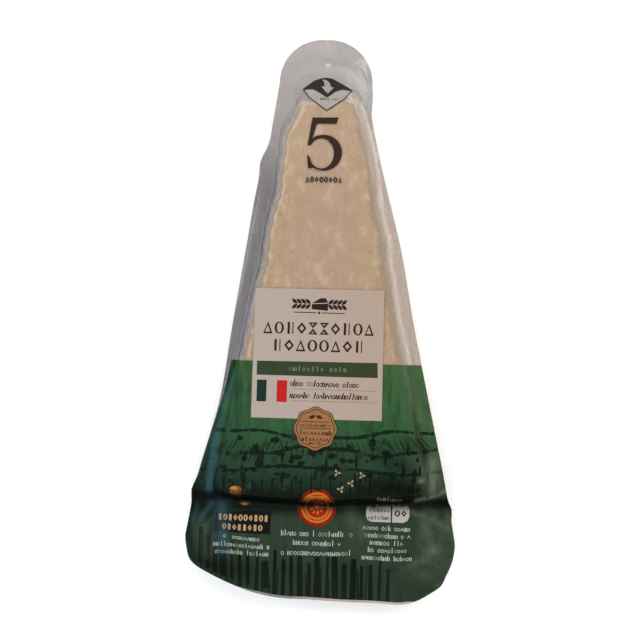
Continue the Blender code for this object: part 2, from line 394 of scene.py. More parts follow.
@dataclass(frozen=True)
class FilmFinish(Finish):
    """Clear film: hardly seen on the cheese, milky on the slopes, hazy on the flange, with painted
    light and shade.
    """

    # Slope colours: painted shade at the left side, painted light at the right.
    slope_left_shaded: Colour
    slope_right_lit: Colour
    clear_haze: float
    slope_haze: float
    flange_haze: float = 0.36
    # Haze of the painted light band along the cheese's edge.
    edge_light_haze: float = 0.0
    # Flange colours: painted shade at the left, where the cheese shades the floor under the film, and
    # painted light, warm from the cheese, at the right.
    left: Colour = tone(107, 98, 102)
    right: Colour = tone(203, 181, 162)
    nose: Colour = tone(177, 165, 159)
    grey: Colour = tone(120, 116, 120)
    # Colours of the painted light band along the cheese's edge, which also covers the shade line
    # there.
    edge_light_left: Colour = tone(186, 171, 156)
    edge_light_right: Colour = tone(192, 168, 144)
    # Colours of the painted bluish reflections and of the painted highlights.
    cool: Colour = tone(158, 166, 184)
    gleam: Colour = tone(240, 234, 230)
    roughness: float = 0.26
    gloss: float = 0.6
    hatch_pitch: float = 1.5

    def surface(self, board: NodeBoard) -> Signal:
        """Transparent with a share of haze, and a mirror that grows as the film is seen aslant.

        Args:
            board: The material's board.

        Returns:
            The shader.
        """
        place = board.place()
        x, y, _ = board.axes(place)
        # Strengths of the painted bluish reflections and painted highlights, stored on the mesh.
        cool, gleam = board.attribute("cool"), board.attribute("gleam")
        uneven = board.cloud(place, (0.22, 0.06, 0.1), 4.0)
        ragged = board.cloud(place, (0.35, 0.22, 0.3)) - 0.5
        # Share from the painted shade of the left side to the painted light of the right.
        side = board.ease(x, -22.0, 18.0)
        out = (board.attribute("out") + ragged * 2.6) * (1.65 - side * 0.8)
        on_flange = board.ease(out, 2.4, 4.2)
        on_slope = board.ease(out, -2.4, 0.9) * (1.0 - board.ease(out, 3.0, 4.8))
        # Painted light band along the cheese's edge, fading out at the nose.
        painted_edge_light = board.band(out, -1.0, 0.7, 1.1) * (1.0 - board.ease(y, 76.0, 86.0))
        smudges = board.ease(board.cloud(place, 0.11, 4.0), 0.50, 0.72)
        creases = board.ease(board.cloud(place, (0.9, 0.14, 0.2), 2.0), 0.55, 0.75)
        # Fine slanting lines at the nose, painted as whitish highlights of the film's wrinkles there.
        across = (x * 0.8 + y) * (2.0 * math.pi / self.hatch_pitch) + uneven * 7.0
        at_nose = board.band(y, 80.0, 97.0, 3.0) * board.ease(abs(x), 5.0, 9.0)
        hatch = board.ease(board.math("SINE", across), 0.0, 0.9) * at_nose
        haze = self.clear_haze * (smudges * 0.8 + 0.7) + on_flange * self.flange_haze
        haze = haze + on_slope * self.slope_haze * (uneven * 0.5 + creases * 0.22 + 0.62)
        haze = haze + painted_edge_light * self.edge_light_haze + hatch * 0.025 + cool * 0.30 + gleam * 0.35
        # Flange colour: painted shade at the left and painted light at the right, paler towards the
        # nose, with grey clouds.
        flat = board.layered(
            self.left, (side, self.right), (board.ease(y, 50.0, 84.0), self.nose),
            (board.ease(board.cloud(place, 0.05, 2.0), 0.4, 0.7) * 0.12, self.grey))
        slope = board.blend(side, self.slope_left_shaded, self.slope_right_lit)
        colour = board.layered(
            slope, (on_flange, flat),
            # Painted light colour along the cheese's edge.
            (board.ease(out, 1.7, 0.3), board.blend(side, self.edge_light_left, self.edge_light_right)),
            (cool, self.cool), (board.math("MINIMUM", gleam + hatch * 0.12, 1.0), self.gleam))
        milk = board.skin(colour, 0.5, Specular_IOR_Level=0.0)
        body = board.mixed(haze, board.add("ShaderNodeBsdfTransparent"), milk)
        ripple = board.bump(board.cloud(place, (0.35, 0.12, 0.3)), 0.3, 0.3)
        mirror = board.skin((1.0, 1.0, 1.0, 1.0), self.roughness, Metallic=1.0, Normal=ripple)
        aslant = board.add("ShaderNodeLayerWeight", sockets={"Blend": 0.5}, output="Facing")
        return board.mixed((aslant**5.0 * 0.9 + 0.04) * self.gloss, body, mirror)


@dataclass(frozen=True)
class PrintFinish(Finish):
    """Printed colour under the film's gloss, with the shadows and lights that lie over it."""

    def printed(self, board: NodeBoard, colour: Signal | Colour, roughness: Signal) -> Signal:
        """The printed surface of a colour.

        Args:
            board: The board.
            colour: The printed colour.
            roughness: Its roughness.

        Returns:
            The surface.
        """
        grain = board.cloud(board.place(), (0.5, 0.2, 0.2)) * 0.8 + 0.6
        # Painted shade, painted bluish reflection and painted pale highlight over the printed colour.
        veiled = board.layered(colour, (board.attribute("gloom") * grain, tone(3, 7, 3)),
                               (board.attribute("cool") * grain, tone(66, 108, 124)),
                               (board.attribute("gleam") * grain, tone(140, 148, 124)))
        return board.skin(veiled, roughness, Specular_IOR_Level=0.05)


@dataclass(frozen=True)
class InkFinish(PrintFinish):
    """One printed colour."""

    colour: Colour
    mottle: float = 0.06
    far_colour: Colour | None = None

    def surface(self, board: NodeBoard) -> Signal:
        """Slightly uneven ink; far_colour is its colour at the right side of the pack.

        Args:
            board: The material's board.

        Returns:
            The shader.
        """
        place = board.place()
        colour: Signal | Colour = self.colour
        if self.far_colour is not None:
            x, _, _ = board.axes(place)
            colour = board.blend(board.ease(x, -28.0, 26.0), self.colour, self.far_colour)
        uneven = board.ease(board.cloud(place, 0.5, 4.0), 0.35, 0.85)
        colour = board.blend(uneven * self.mottle * 2.0, colour, dimmed(self.colour, 0.55))
        return self.printed(board, colour, 0.36 + uneven * 0.1)


@dataclass(frozen=True)
class FieldFinish(PrintFinish):
    """The green field, which deepens towards the rind, darkest in the crease from its own dark and
    painted shade, and lightens again on the tail.
    """

    dim: float = 1.0
    strength: float = 1.0
    # Tones along y; the darkest stops, at the crease from -65 to -73.5, are partly the print's own
    # dark and partly painted shade.
    ramp: tuple = (
        (-12, (66, 104, 60)), (-34, (60, 101, 60)), (-42, (55, 96, 60)), (-50, (48, 80, 54)),
        (-58, (44, 70, 52)), (-65, (29, 44, 33)), (-69.5, (12, 17, 12)), (-73.5, (16, 22, 15)),
        (-77.5, (48, 64, 49)), (-84, (51, 69, 54)), (-90, (51, 68, 52)), (-97, (40, 58, 43)),
        (-104, (40, 59, 43)), (-110, (44, 64, 48)))
    # Painted bluish sheen, painted pale glare, and a darker green for the grain and blots.
    left_sheen: Colour = tone(24, 56, 50)
    right_glare: Colour = tone(84, 102, 74)
    shade: Colour = tone(24, 42, 29)
    top: float = -10.0
    bottom: float = -112.0

    def surface(self, board: NodeBoard) -> Signal:
        """A ramp along the pack, brushed grain, a painted bluish sheen at the left border and a
        painted pale glare at the right.

        Args:
            board: The material's board.

        Returns:
            The shader.
        """
        place = board.place()
        x, y, _ = board.axes(place)
        span = self.bottom - self.top
        stops = [((level - self.top) / span, tone(*colour, self.dim)) for level, colour in self.ramp]
        ramp = board.add("ShaderNodeValToRGB", {"stops": stops}, {0: (y - self.top) / span})
        brushed = board.cloud(place, (0.50, 0.07, 0.3), 5.0)
        blots = board.cloud(place, 0.16, 4.0)
        grain = board.ease(brushed, 0.42, 0.78) * 0.55 * self.strength
        # Where the painted sheen at the left and the painted glare at the right fall.
        left = board.ease(x * -1.0 + y * 0.20, 18.0, 27.0) * board.ease(brushed, 0.3, 0.7)
        right = board.ease(x + y * 0.20, 20.0, 28.0) * board.ease(blots, 0.2, 0.65)
        colour = board.layered(
            ramp, (grain, self.shade),
            (board.ease(blots, 0.52, 0.74) * 0.30 * self.strength, self.shade),
            (left * 0.55 * self.strength, self.left_sheen),
            (right * 0.5 * self.strength, self.right_glare))
        return self.printed(board, colour, 0.36 + grain * 0.15)


# ---- plane forms ----


def smooth_step(value: np.ndarray | float) -> np.ndarray:
    """Ease from 0 to 1 as value goes from 0 to 1."""
    clipped = np.clip(value, 0.0, 1.0)
    return clipped * clipped * (3.0 - 2.0 * clipped)


def side_run(stations: Sequence[Place], count: int) -> list[Place]:
    """Points of a smooth line through (x, y) stations, evenly spaced in y, without the last.

    Args:
        stations: Places with y all rising or all falling.
        count: How many points.

    Returns:
        The points.
    """
    xs, ys = np.array(stations).T
    leans = np.gradient(xs, ys)
    points = []
    for y in np.linspace(ys[0], ys[-1], count, endpoint=False):
        span = np.nonzero((ys[:-1] - y) * (ys[1:] - y) <= 0.0)[0][0]
        height = ys[span + 1] - ys[span]
        t = (y - ys[span]) / height
        near = 2.0 * t**3 - 3.0 * t**2 + 1.0
        x = near * xs[span] + (1.0 - near) * xs[span + 1]
        lean = (t**3 - 2.0 * t**2 + t) * leans[span] + (t**3 - t**2) * leans[span + 1]
        points.append((x + height * lean, y))
    return points


def straight_run(start: Place, end: Place, count: int, bow: float = 0.0) -> list[Place]:
    """Points from start towards end, without the end, pushed to the right of the way by bow.

    Args:
        start: First point.
        end: Where it leads.
        count: How many points.
        bow: Largest push.

    Returns:
        The points.
    """
    first = np.array(start)
    way = np.array(end) - first
    aside = np.array((way[1], -way[0])) / np.linalg.norm(way)
    shares = np.arange(count) / count
    return [tuple(first + way * t + aside * bow * 4.0 * t * (1.0 - t)) for t in shares]


def corner_run(start: Place, vertex: Place, end: Place, count: int) -> list[Place]:
    """A quarter of an ellipse that leaves start towards vertex and arrives at end, without it.

    Args:
        start: First point.
        vertex: Corner that the curve rounds.
        end: Where it leads.
        count: How many points.

    Returns:
        The points.
    """
    corner = np.array(vertex)
    from_start, to_end = np.array(start) - corner, np.array(end) - corner
    return [tuple(corner + from_start * (1.0 - math.sin(a)) + to_end * (1.0 - math.cos(a)))
            for a in 0.5 * math.pi * np.arange(count) / count]


def outward(loop: np.ndarray) -> np.ndarray:
    """Unit vectors that point out of an anticlockwise loop, one at each of its points.

    Args:
        loop: The loop.

    Returns:
        The vectors.
    """
    along = np.roll(loop, -1, axis=0) - np.roll(loop, 1, axis=0)
    normals = np.stack((along[:, 1], -along[:, 0]), axis=1)
    return normals / np.linalg.norm(normals, axis=1)[:, None]


def distance_out(points: np.ndarray, ways: np.ndarray, outline: np.ndarray) -> np.ndarray:
    """How far each point is from the outline, straight along its own way.

    Args:
        points: Points inside the outline.
        ways: Unit vectors, one for each point.
        outline: Closed outline.

    Returns:
        The distances.
    """
    spans = np.roll(outline, -1, axis=0) - outline
    distances = []
    for point, way in zip(points, ways):
        offset = outline - point
        across = way[0] * spans[:, 1] - way[1] * spans[:, 0]
        across = np.where(np.abs(across) < 1e-9, 1e-9, across)
        far = (offset[:, 0] * spans[:, 1] - offset[:, 1] * spans[:, 0]) / across
        share = (offset[:, 0] * way[1] - offset[:, 1] * way[0]) / across
        distances.append(far[(far > 0.0) & (share >= 0.0) & (share <= 1.0)].min())
    return np.array(distances)


def signed_distance(points: np.ndarray, outline: np.ndarray) -> np.ndarray:
    """Distance of each point from a closed outline, negative inside it.

    Args:
        points: Plane points.
        outline: Closed outline.

    Returns:
        The distances.
    """
    nearest = np.full(len(points), np.inf)
    inside = np.zeros(len(points), bool)
    for start, end in zip(outline, np.roll(outline, -1, axis=0)):
        span = end - start
        offset = points - start
        share = np.clip(offset @ span / max(span @ span, TINY), 0.0, 1.0)
        nearest = np.minimum(nearest, ((offset - share[:, None] * span) ** 2).sum(axis=1))
        rise = span[1] if abs(span[1]) > TINY else TINY
        crosses = (start[1] > points[:, 1]) != (end[1] > points[:, 1])
        inside ^= crosses & (points[:, 0] < start[0] + (points[:, 1] - start[1]) * span[0] / rise)
    return np.sqrt(nearest) * np.where(inside, -1.0, 1.0)


def densify(outline: np.ndarray, step: float) -> np.ndarray:
    """The closed outline with points added so that no side is longer than step.

    Args:
        outline: Closed outline.
        step: Longest side.

    Returns:
        The denser outline.
    """
    points = []
    for start, end in zip(outline, np.roll(outline, -1, axis=0)):
        parts = max(1, math.ceil(np.linalg.norm(end - start) / step))
        points += [start + (end - start) * part / parts for part in range(parts)]
    return np.array(points)


def lattice(outline: np.ndarray, step: float, margin: float = RIM_MARGIN) -> np.ndarray:
    """Points of a triangular lattice, the same for every outline, that lie inside this one.

    Args:
        outline: Closed outline.
        step: Distance of the points from each other.
        margin: Least distance from the outline, as a share of step.

    Returns:
        The points.
    """
    low, high = outline.min(axis=0), outline.max(axis=0)
    row_height = step * math.sqrt(0.75)
    columns = np.arange(math.floor(low[0] / step) - 1, math.ceil(high[0] / step) + 1)
    points = []
    for row in range(math.floor(low[1] / row_height), math.ceil(high[1] / row_height) + 1):
        xs = columns * step + 0.5 * step * (row % 2)
        points.append(np.stack((xs, np.full(len(columns), row * row_height)), 1))
    grid = np.concatenate(points)
    return grid[signed_distance(grid, outline) < -margin * step]


def face_up(points: np.ndarray, face: Face) -> Face:
    """The face in anticlockwise order.

    Args:
        points: Plane points.
        face: Numbers of its corners.

    Returns:
        The face, turned over where it was clockwise.
    """
    corners = points[list(face)]
    after = np.roll(corners, -1, axis=0)
    turn = (corners[:, 0] * after[:, 1] - corners[:, 1] * after[:, 0]).sum()
    return tuple(face if turn > 0.0 else reversed(face))


def without_loose(points: np.ndarray, faces: list[Face]) -> tuple[np.ndarray, list[Face]]:
    """Points and faces without the points that no face uses.

    Args:
        points: The points.
        faces: The faces.

    Returns:
        The used points and the faces with their new numbers.
    """
    used = sorted({i for face in faces for i in face})
    number = {old: new for new, old in enumerate(used)}
    return points[used], [tuple(number[i] for i in face) for face in faces]


def fill(rims: Sequence[np.ndarray], inner: np.ndarray) -> tuple[np.ndarray, list[Face], list[int]]:
    """Fill closed rims with triangles through the points inside them.

    Args:
        rims: The closed rims.
        inner: Points inside the first.

    Returns:
        The points, the anticlockwise triangles, and for each point which one it was before.
    """
    edges: list[tuple[int, int]] = []
    for rim in rims:
        first, count = len(edges), len(rim)
        edges += [(first + i, first + (i + 1) % count) for i in range(count)]
    points = [Vector(point) for point in np.concatenate([*rims, inner])]
    found = geometry.delaunay_2d_cdt(points, edges, [], INSIDE, POINT_MERGE)
    flat = np.array([point[:] for point in found[0]])
    return flat, [face_up(flat, face) for face in found[2]], [origin[0] for origin in found[3]]


def triangulate(outlines: Sequence[np.ndarray], step: float) -> tuple[np.ndarray, list[Face]]:
    """Fill outlines with even triangles.

    Args:
        outlines: Closed outlines; one that lies inside the first is a hole.
        step: Length of the triangles' sides, in millimetres.

    Returns:
        The points and the anticlockwise triangles.
    """
    rims = [densify(outline, step) for outline in outlines]
    inner = lattice(rims[0], step)
    for hole in rims[1:]:
        inner = inner[signed_distance(inner, hole) > RIM_MARGIN * step]
    flat, faces, _ = fill(rims, inner)
    if len(outlines) > 1:
        centres = np.array([flat[list(face)].mean(axis=0) for face in faces])
        kept = np.all([signed_distance(centres, hole) > 0.0 for hole in outlines[1:]], axis=0)
        flat, faces = without_loose(flat, [face for face, keep in zip(faces, kept) if keep])
    return flat, faces


def ridge(points: np.ndarray, start: Place, end: Place, width: float, height: float,
          fade: float = 0.25) -> np.ndarray:
    """Height of a soft straight ridge from start to end that fades out at both ends.

    Args:
        points: Plane points.
        start: One end.
        end: The other end.
        width: Half width.
        height: Height of the crest.
        fade: Share of the length that each end takes to rise.

    Returns:
        The heights.
    """
    way = np.array(end) - np.array(start)
    length = np.linalg.norm(way)
    way = way / length
    along = (points - np.array(start)) @ way / length
    aside = (points - np.array(start)) @ np.array((-way[1], way[0]))
    ends = smooth_step(along / fade) * smooth_step((1.0 - along) / fade)
    return height * ends * np.exp(-((aside / width) ** 2))


def soft_segment(points: np.ndarray, start: Place, end: Place, width: float) -> np.ndarray:
    """1 on a segment and less away from it, like a brush stroke with round ends.

    Args:
        points: Plane points.
        start: One end.
        end: The other end.
        width: Where it has faded to a third.

    Returns:
        The strengths.
    """
    span = np.array(end) - np.array(start)
    offset = points - np.array(start)
    share = np.clip(offset @ span / (span @ span), 0.0, 1.0)
    away = offset - share[:, None] * span
    return np.exp(-(away**2).sum(axis=1) / width**2)


def noise_at(points: np.ndarray, scale: float, level: float) -> np.ndarray:
    """Smooth noise, from about -0.5 to 0.5, at plane points scaled and set on a level."""
    return np.array([noise.noise((x * scale, y * scale, level)) for x, y in points])


def ruffle(points: np.ndarray, wavelength: float, seed: float) -> np.ndarray:
    """Smooth noise from about -1 to 1 at plane points."""
    return noise_at(points, 1.0 / wavelength, seed) * 2.0


@dataclass(frozen=True)
class Veil:
    """Shadows and reflections that lie over the pack, as soft strokes through plane points.

    Each stroke is its points, its half width in millimetres and its strength.
    """

    # Painted shade, painted highlights and painted bluish reflections.
    gloom: tuple
    gleam: tuple
    cool: tuple

    @staticmethod
    def strength(strokes: tuple, points: np.ndarray) -> np.ndarray:
        """How strong a set of strokes is at plane points, from 0 to 1.

        Args:
            strokes: The set.
            points: Plane points.

        Returns:
            The strengths.
        """
        total = np.zeros(len(points))
        for line, width, strength in strokes:
            for start, end in zip(line, line[1:]):
                total = np.maximum(total, soft_segment(points, start, end, width) * strength)
        return np.clip(total, 0.0, 1.0)

    def paint(self, mesh: bpy.types.Mesh, points: np.ndarray) -> None:
        """Store the three strengths on a mesh."""
        for name in ("gloom", "gleam", "cool"):
            store(mesh, name, self.strength(getattr(self, name), points))


def store(mesh: bpy.types.Mesh, name: str, values: np.ndarray) -> None:
    """Store a number at each point of a mesh."""
    numbers = mesh.attributes.new(name, "FLOAT", "POINT")
    numbers.data.foreach_set("value", values.astype(np.float32))


PRINT_VEIL = Veil(
    gloom=(
        (((-53, -68.6), (0, -72), (53, -70.4)), 2.9, 1),
        (((-39.4, -71), (-46.8, -79.3)), 1.3, 0.70),
        (((-33.7, -13), (-39.6, -31.4), (-43.4, -46), (-47, -62)), 0.8, 0.65),
        (((-50.5, -64), (-52.6, -80), (-50, -95)), 2.4, 0.60),
        (((36.3, -35), (37.6, -48)), 0.8, 0.55), (((28.5, -97.3), (36.5, -99.6)), 1.3, 0.35),
        (((22, -64), (38, -65.5)), 4.4, 0.75), (((38, -47), (41.5, -54)), 1.8, 0.40),
        (((46, -74), (52, -92), (44, -105)), 2.2, 0.25), (((-44, -95), (-30, -99)), 5, 0.40),
        (((25, -53), (34, -57)), 4, 0.45), (((34, -46), (38, -50)), 2.6, 0.40)),
    gleam=(
        (((43.8, -55), (43.2, -65)), 2.6, 0.40), (((38.8, -61.7), (39.6, -61.7)), 0.9, 0.50),
        (((32.5, -15), (35.4, -28.2), (38.2, -38)), 1.4, 0.24),
        (((37.5, -69.6), (45.9, -67.7), (49.4, -65.6)), 0.7, 0.36),
        (((36, -74.6), (41, -75.8)), 1.3, 0.20), (((44.6, -76.8), (50.2, -80.8)), 1.5, 0.14),
        (((40.6, -79.9), (43.4, -84.6), (44.9, -88.5)), 1.6, 0.10),
        (((34, -98), (41, -99.5)), 3, 0.12), (((44.6, -89.2), (41, -93.5), (35.5, -96)), 1.9, 0.18),
        (((-45.6, -81), (-44.4, -92)), 2.4, 0.10), (((12, -76), (17, -83)), 3, 0.12)),
    cool=(
        (((-34.6, -20), (-38, -31.4), (-41.2, -44)), 1.2, 0.25),
        (((-41.8, -45), (-42.9, -55), (-44.3, -66)), 1.4, 0.50),
        (((-42.9, -71.8), (-47.2, -78.8)), 1.1, 0.26), (((-39.2, -73.5), (-38.4, -90)), 2.8, 0.30)))

FILM_VEIL = Veil(
    gloom=(),
    gleam=(
        (((-0.4, 101.6), (0.9, 101.6)), 0.6, 1), (((-0.6, 101.4), (1, 101.4)), 2.2, 0.25),
        (((10.2, 102), (12.8, 103.2), (15.6, 103)), 0.6, 0.75),
        (((12.6, 101.4), (13.2, 101.2)), 0.6, 0.75), (((13.6, 99.5), (15.6, 93)), 3.2, 0.62),
        (((15.2, 92), (15.2, 88)), 2.6, 0.30),
        (((-10.2, 94.5), (-13.2, 84), (-17.2, 73.7), (-18.8, 62)), 1.7, 0.20),
        (((13.6, 84.5), (16.9, 68.3), (19.8, 56.5)), 2.2, 0.26),
        (((22.6, 44), (28.6, 12), (32.4, -8)), 1.8, 0.12)),
    cool=(
        (((-27, 21), (-29.6, 8), (-32.4, -8)), 1, 0.45), (((-22.5, 45), (-25.8, 28)), 1.1, 0.36),
        (((-7, 97.5), (-4, 99)), 1.6, 0.18)))


# ---- pack form ----


@dataclass(frozen=True)
class PackForm:
    """Footprints, levels and relief of the pack, in millimetres, as the construction has them."""

    flange_right: tuple = (
        (53.3, -86), (48.5, -60), (42.5, -32), (35.7, 0), (30.1, 30), (23.8, 55), (19, 75),
        (17.9, 95))
    flange_left: tuple = (
        (-18.8, 95), (-22, 75), (-26.8, 55), (-30.9, 30), (-35.8, 0), (-40.8, -32), (-48.6, -60),
        (-53.3, -84))
    flange_nose_end: tuple = ((1.2, 112), (-2, 112))
    flange_tail_end: tuple = ((-5, -109.4), (30.5, -111))
    cheese_side: tuple = ((40.6, -62), (29, 0), (19.8, 50), (16.4, 69), (10.6, 85.5))
    nose_y: float = 89.5
    rind_y: float = -67.0
    nose_half: float = 9.2
    rind_half: float = 41.5
    rind_bow: float = 2.0
    nose_round: float = 4.0
    rind_round: float = 5.0
    off_centre: float = 0.2
    lid_level: float = 21.5
    flange_level: float = 18.6
    groove_depth: float = 0.5
    base_fillet: float = 3.4
    reach_side: float = 2.6
    reach_nose: float = 12.0
    reach_rind: float = 4.7
    reach_share: float = 0.6
    side_lean: float = 0.25
    groove_width: float = 1.5
    drop_shape: float = 1.3
    cling: float = 0.4
    seal_land: float = 1.0
    flare_power: float = 2.2
    relief_ease: float = 0.33
    tail_droop: float = 1.6
    ripple_height: float = 0.55
    ripple_length: float = 27.0
    ripple_slant: float = 0.25
    tail_ease: float = 16.0
    fold_height: float = 0.9
    fold_width: float = 2.4
    fold_widening: float = 0.10
    fold_rise: float = 7.0
    fold_length: float = 40.0
    fold_spread: tuple = (0.30, -0.15, -0.62)
    peel_centre: tuple = (13.6, 95.5)
    peel_half_size: tuple = (4.8, 9.0)
    peel_height: float = 1.4
    peel_flatness: float = 1.4
    flange_bulges: tuple = (
        (-1, 63, 4, 1.2), (-1, 72, 3, -0.4), (-1, -66.5, 3.5, 1.2), (-1, -95, 4.5, 1.7),
        (1, -73.5, 2.6, 1), (1, -104, 3, 1.2), (1, 82, 4, -0.6))
    cheese_bulges: tuple = (
        (-1, 73.5, 5.5, 1.5), (-1, 51.5, 6, -1), (-1, 22, 7, -1), (1, 4, 14, -1.3),
        (1, 24, 6, -0.7), (1, 45, 9, -0.8))
    food_nose_y: float = 87.2
    food_inset: float = 0.5
    rind_steps: int = 90
    rind_corner_steps: int = 44
    side_steps: int = 150
    nose_corner_steps: int = 30
    nose_steps: int = 10
    outline_steps: int = 80
    fillet_steps: int = 6

    @functools.cache
    def flange(self) -> np.ndarray:
        """The flange's cut edge, anticlockwise from above, with its box centred on the origin.

        Returns:
            The outline.
        """
        tail_left, tail_right = self.flange_tail_end
        nose_right, nose_left = self.flange_nose_end
        right, left, count = self.flange_right, self.flange_left, self.outline_steps
        outline = np.array([
            *straight_run(tail_left, tail_right, count),
            *corner_run(tail_right, (right[0][0], tail_right[1]), right[0], count),
            *side_run(right, count),
            *corner_run(right[-1], (right[-1][0], nose_right[1]), nose_right, count),
            *straight_run(nose_right, nose_left, count // 8),
            *corner_run(nose_left, (left[0][0], nose_left[1]), left[0], count),
            *side_run(left, count),
            *corner_run(left[-1], (left[-1][0], tail_left[1]), tail_left, count)])
        outline = outline - 0.5 * (outline.min(axis=0) + outline.max(axis=0))
        return self.bulged(outline, self.flange_bulges)

    @staticmethod
    def bulged(loop: np.ndarray, bulges: tuple) -> np.ndarray:
        """The loop with bulges: each has a side, a middle in y, a half width and a size.

        Args:
            loop: Closed outline.
            bulges: The bulges.

        Returns:
            The moved loop.
        """
        moved = loop.copy()
        for side, middle, width, size in bulges:
            on_side = np.sign(loop[:, 0]) == side
            moved[:, 0] += side * size * on_side * np.exp(-((loop[:, 1] - middle) / width) ** 2)
        return moved

    @functools.cache
    def food(self) -> np.ndarray:
        """The outline that the cheese itself shows through the lid.

        Returns:
            The outline.
        """
        loop = self.off_cheese(-self.food_inset)
        past = np.clip(loop[:, 1] - self.food_nose_y, 0.0, None)
        return np.stack((loop[:, 0], loop[:, 1] - past), 1)

    @functools.cache
    def cheese(self) -> np.ndarray:
        """The cheese's footprint, anticlockwise from above.

        Returns:
            The outline.
        """
        low, high = self.cheese_side[0], self.cheese_side[-1]
        rind_end = self.rind_half - self.rind_round
        nose_end = self.nose_half - self.nose_round
        lift = 2.0 * self.rind_bow / rind_end * self.rind_round
        corner_x = self.rind_half - lift * (self.rind_half - low[0]) / self.rind_round
        rind_left, rind_right = (-rind_end, self.rind_y), (rind_end, self.rind_y)
        nose_right, nose = (nose_end, self.nose_y), (0, self.nose_y)
        side = [*corner_run(rind_right, (corner_x, self.rind_y + lift), low, self.rind_corner_steps),
                *side_run(self.cheese_side, self.side_steps),
                *corner_run(high, (self.nose_half, self.nose_y), nose_right, self.nose_corner_steps),
                *straight_run(nose_right, nose, self.nose_steps)]
        points = straight_run(rind_left, rind_right, self.rind_steps, self.rind_bow)
        points += side + [nose] + [(-x, y) for x, y in side[:0:-1]]
        loop = np.array(points) + np.array((self.off_centre, 0.0))
        return self.bulged(loop, self.cheese_bulges)

    @functools.cache
    def normals(self) -> np.ndarray:
        """The ways straight out of the cheese's footprint."""
        return outward(self.cheese())

    @functools.cache
    def gap(self) -> np.ndarray:
        """How wide the flange and slope are together at each point of the footprint."""
        return distance_out(self.cheese(), self.normals(), self.flange())

    @functools.cache
    def reach(self) -> np.ndarray:
        """How far the lid film runs out before it meets the flange.

        Returns:
            The distance at each point of the footprint.
        """
        facing = self.normals()[:, 1]
        to_nose = smooth_step((facing - self.side_lean) / (1.0 - self.side_lean))
        reach = self.reach_side + (self.reach_nose - self.reach_side) * to_nose
        reach = reach + (self.reach_rind - self.reach_side) * smooth_step(-facing)
        return np.minimum(reach, self.reach_share * self.gap())

    def off_cheese(self, distance: np.ndarray | float) -> np.ndarray:
        """The footprint moved straight out by a distance."""
        return self.cheese() + self.normals() * np.broadcast_to(distance, self.reach().shape)[:, None]

    def fillet(self) -> list[tuple[float, float, float]]:
        """Sine, way out and height of the steps from the flat base up the rounded foot."""
        angles = np.linspace(0.0, 0.5 * math.pi, self.fillet_steps + 1)
        return [(math.sin(a), self.cling - self.base_fillet * (1.0 - math.sin(a)),
                 self.base_fillet * (1.0 - math.cos(a))) for a in angles]

    def fold_relief(self, points: np.ndarray) -> np.ndarray:
        """Height of the folds from the corners of the rind to the corners of the pack.

        Args:
            points: Plane points.

        Returns:
            The heights.
        """
        relief = np.zeros(len(points))
        for side in (-1.0, 1.0):
            start = np.array((side * self.rind_half, self.rind_y - 1.0))
            for order, spread in enumerate(self.fold_spread):
                angle = side * spread - 0.5 * math.pi
                way = np.array((math.cos(angle), math.sin(angle)))
                along = (points - start) @ way
                aside = (points - start) @ np.array((-way[1], way[0]))
                width = self.fold_width + self.fold_widening * np.clip(along, 0.0, None)
                fade = smooth_step(along / self.fold_rise)
                fade = fade * smooth_step(1.5 - along / self.fold_length)
                sign = 1.0 - 2.0 * (order % 2)
                relief += sign * self.fold_height * fade * np.exp(-((aside / width) ** 2))
        return relief

    def flange_relief(self, points: np.ndarray) -> np.ndarray:
        """Height of the flange above its plain level: droop, ripples, folds, peel dome.

        Args:
            points: Plane points.

        Returns:
            The heights.
        """
        beyond = np.clip(self.rind_y - points[:, 1], 0.0, None)
        tail = smooth_step(beyond / self.tail_ease)
        droop = -self.tail_droop * (beyond / (self.rind_y - self.flange_tail_end[1][1])) ** 2
        phase = 2.0 * math.pi * (points[:, 0] + self.ripple_slant * points[:, 1])
        ripple = self.ripple_height * tail * np.sin(phase / self.ripple_length)
        offset = (points - np.array(self.peel_centre)) / np.array(self.peel_half_size)
        share_out = np.linalg.norm(offset, axis=1)
        peel = self.peel_height * smooth_step(self.peel_flatness * (1.0 - share_out))
        return droop + ripple + tail * self.fold_relief(points) + peel


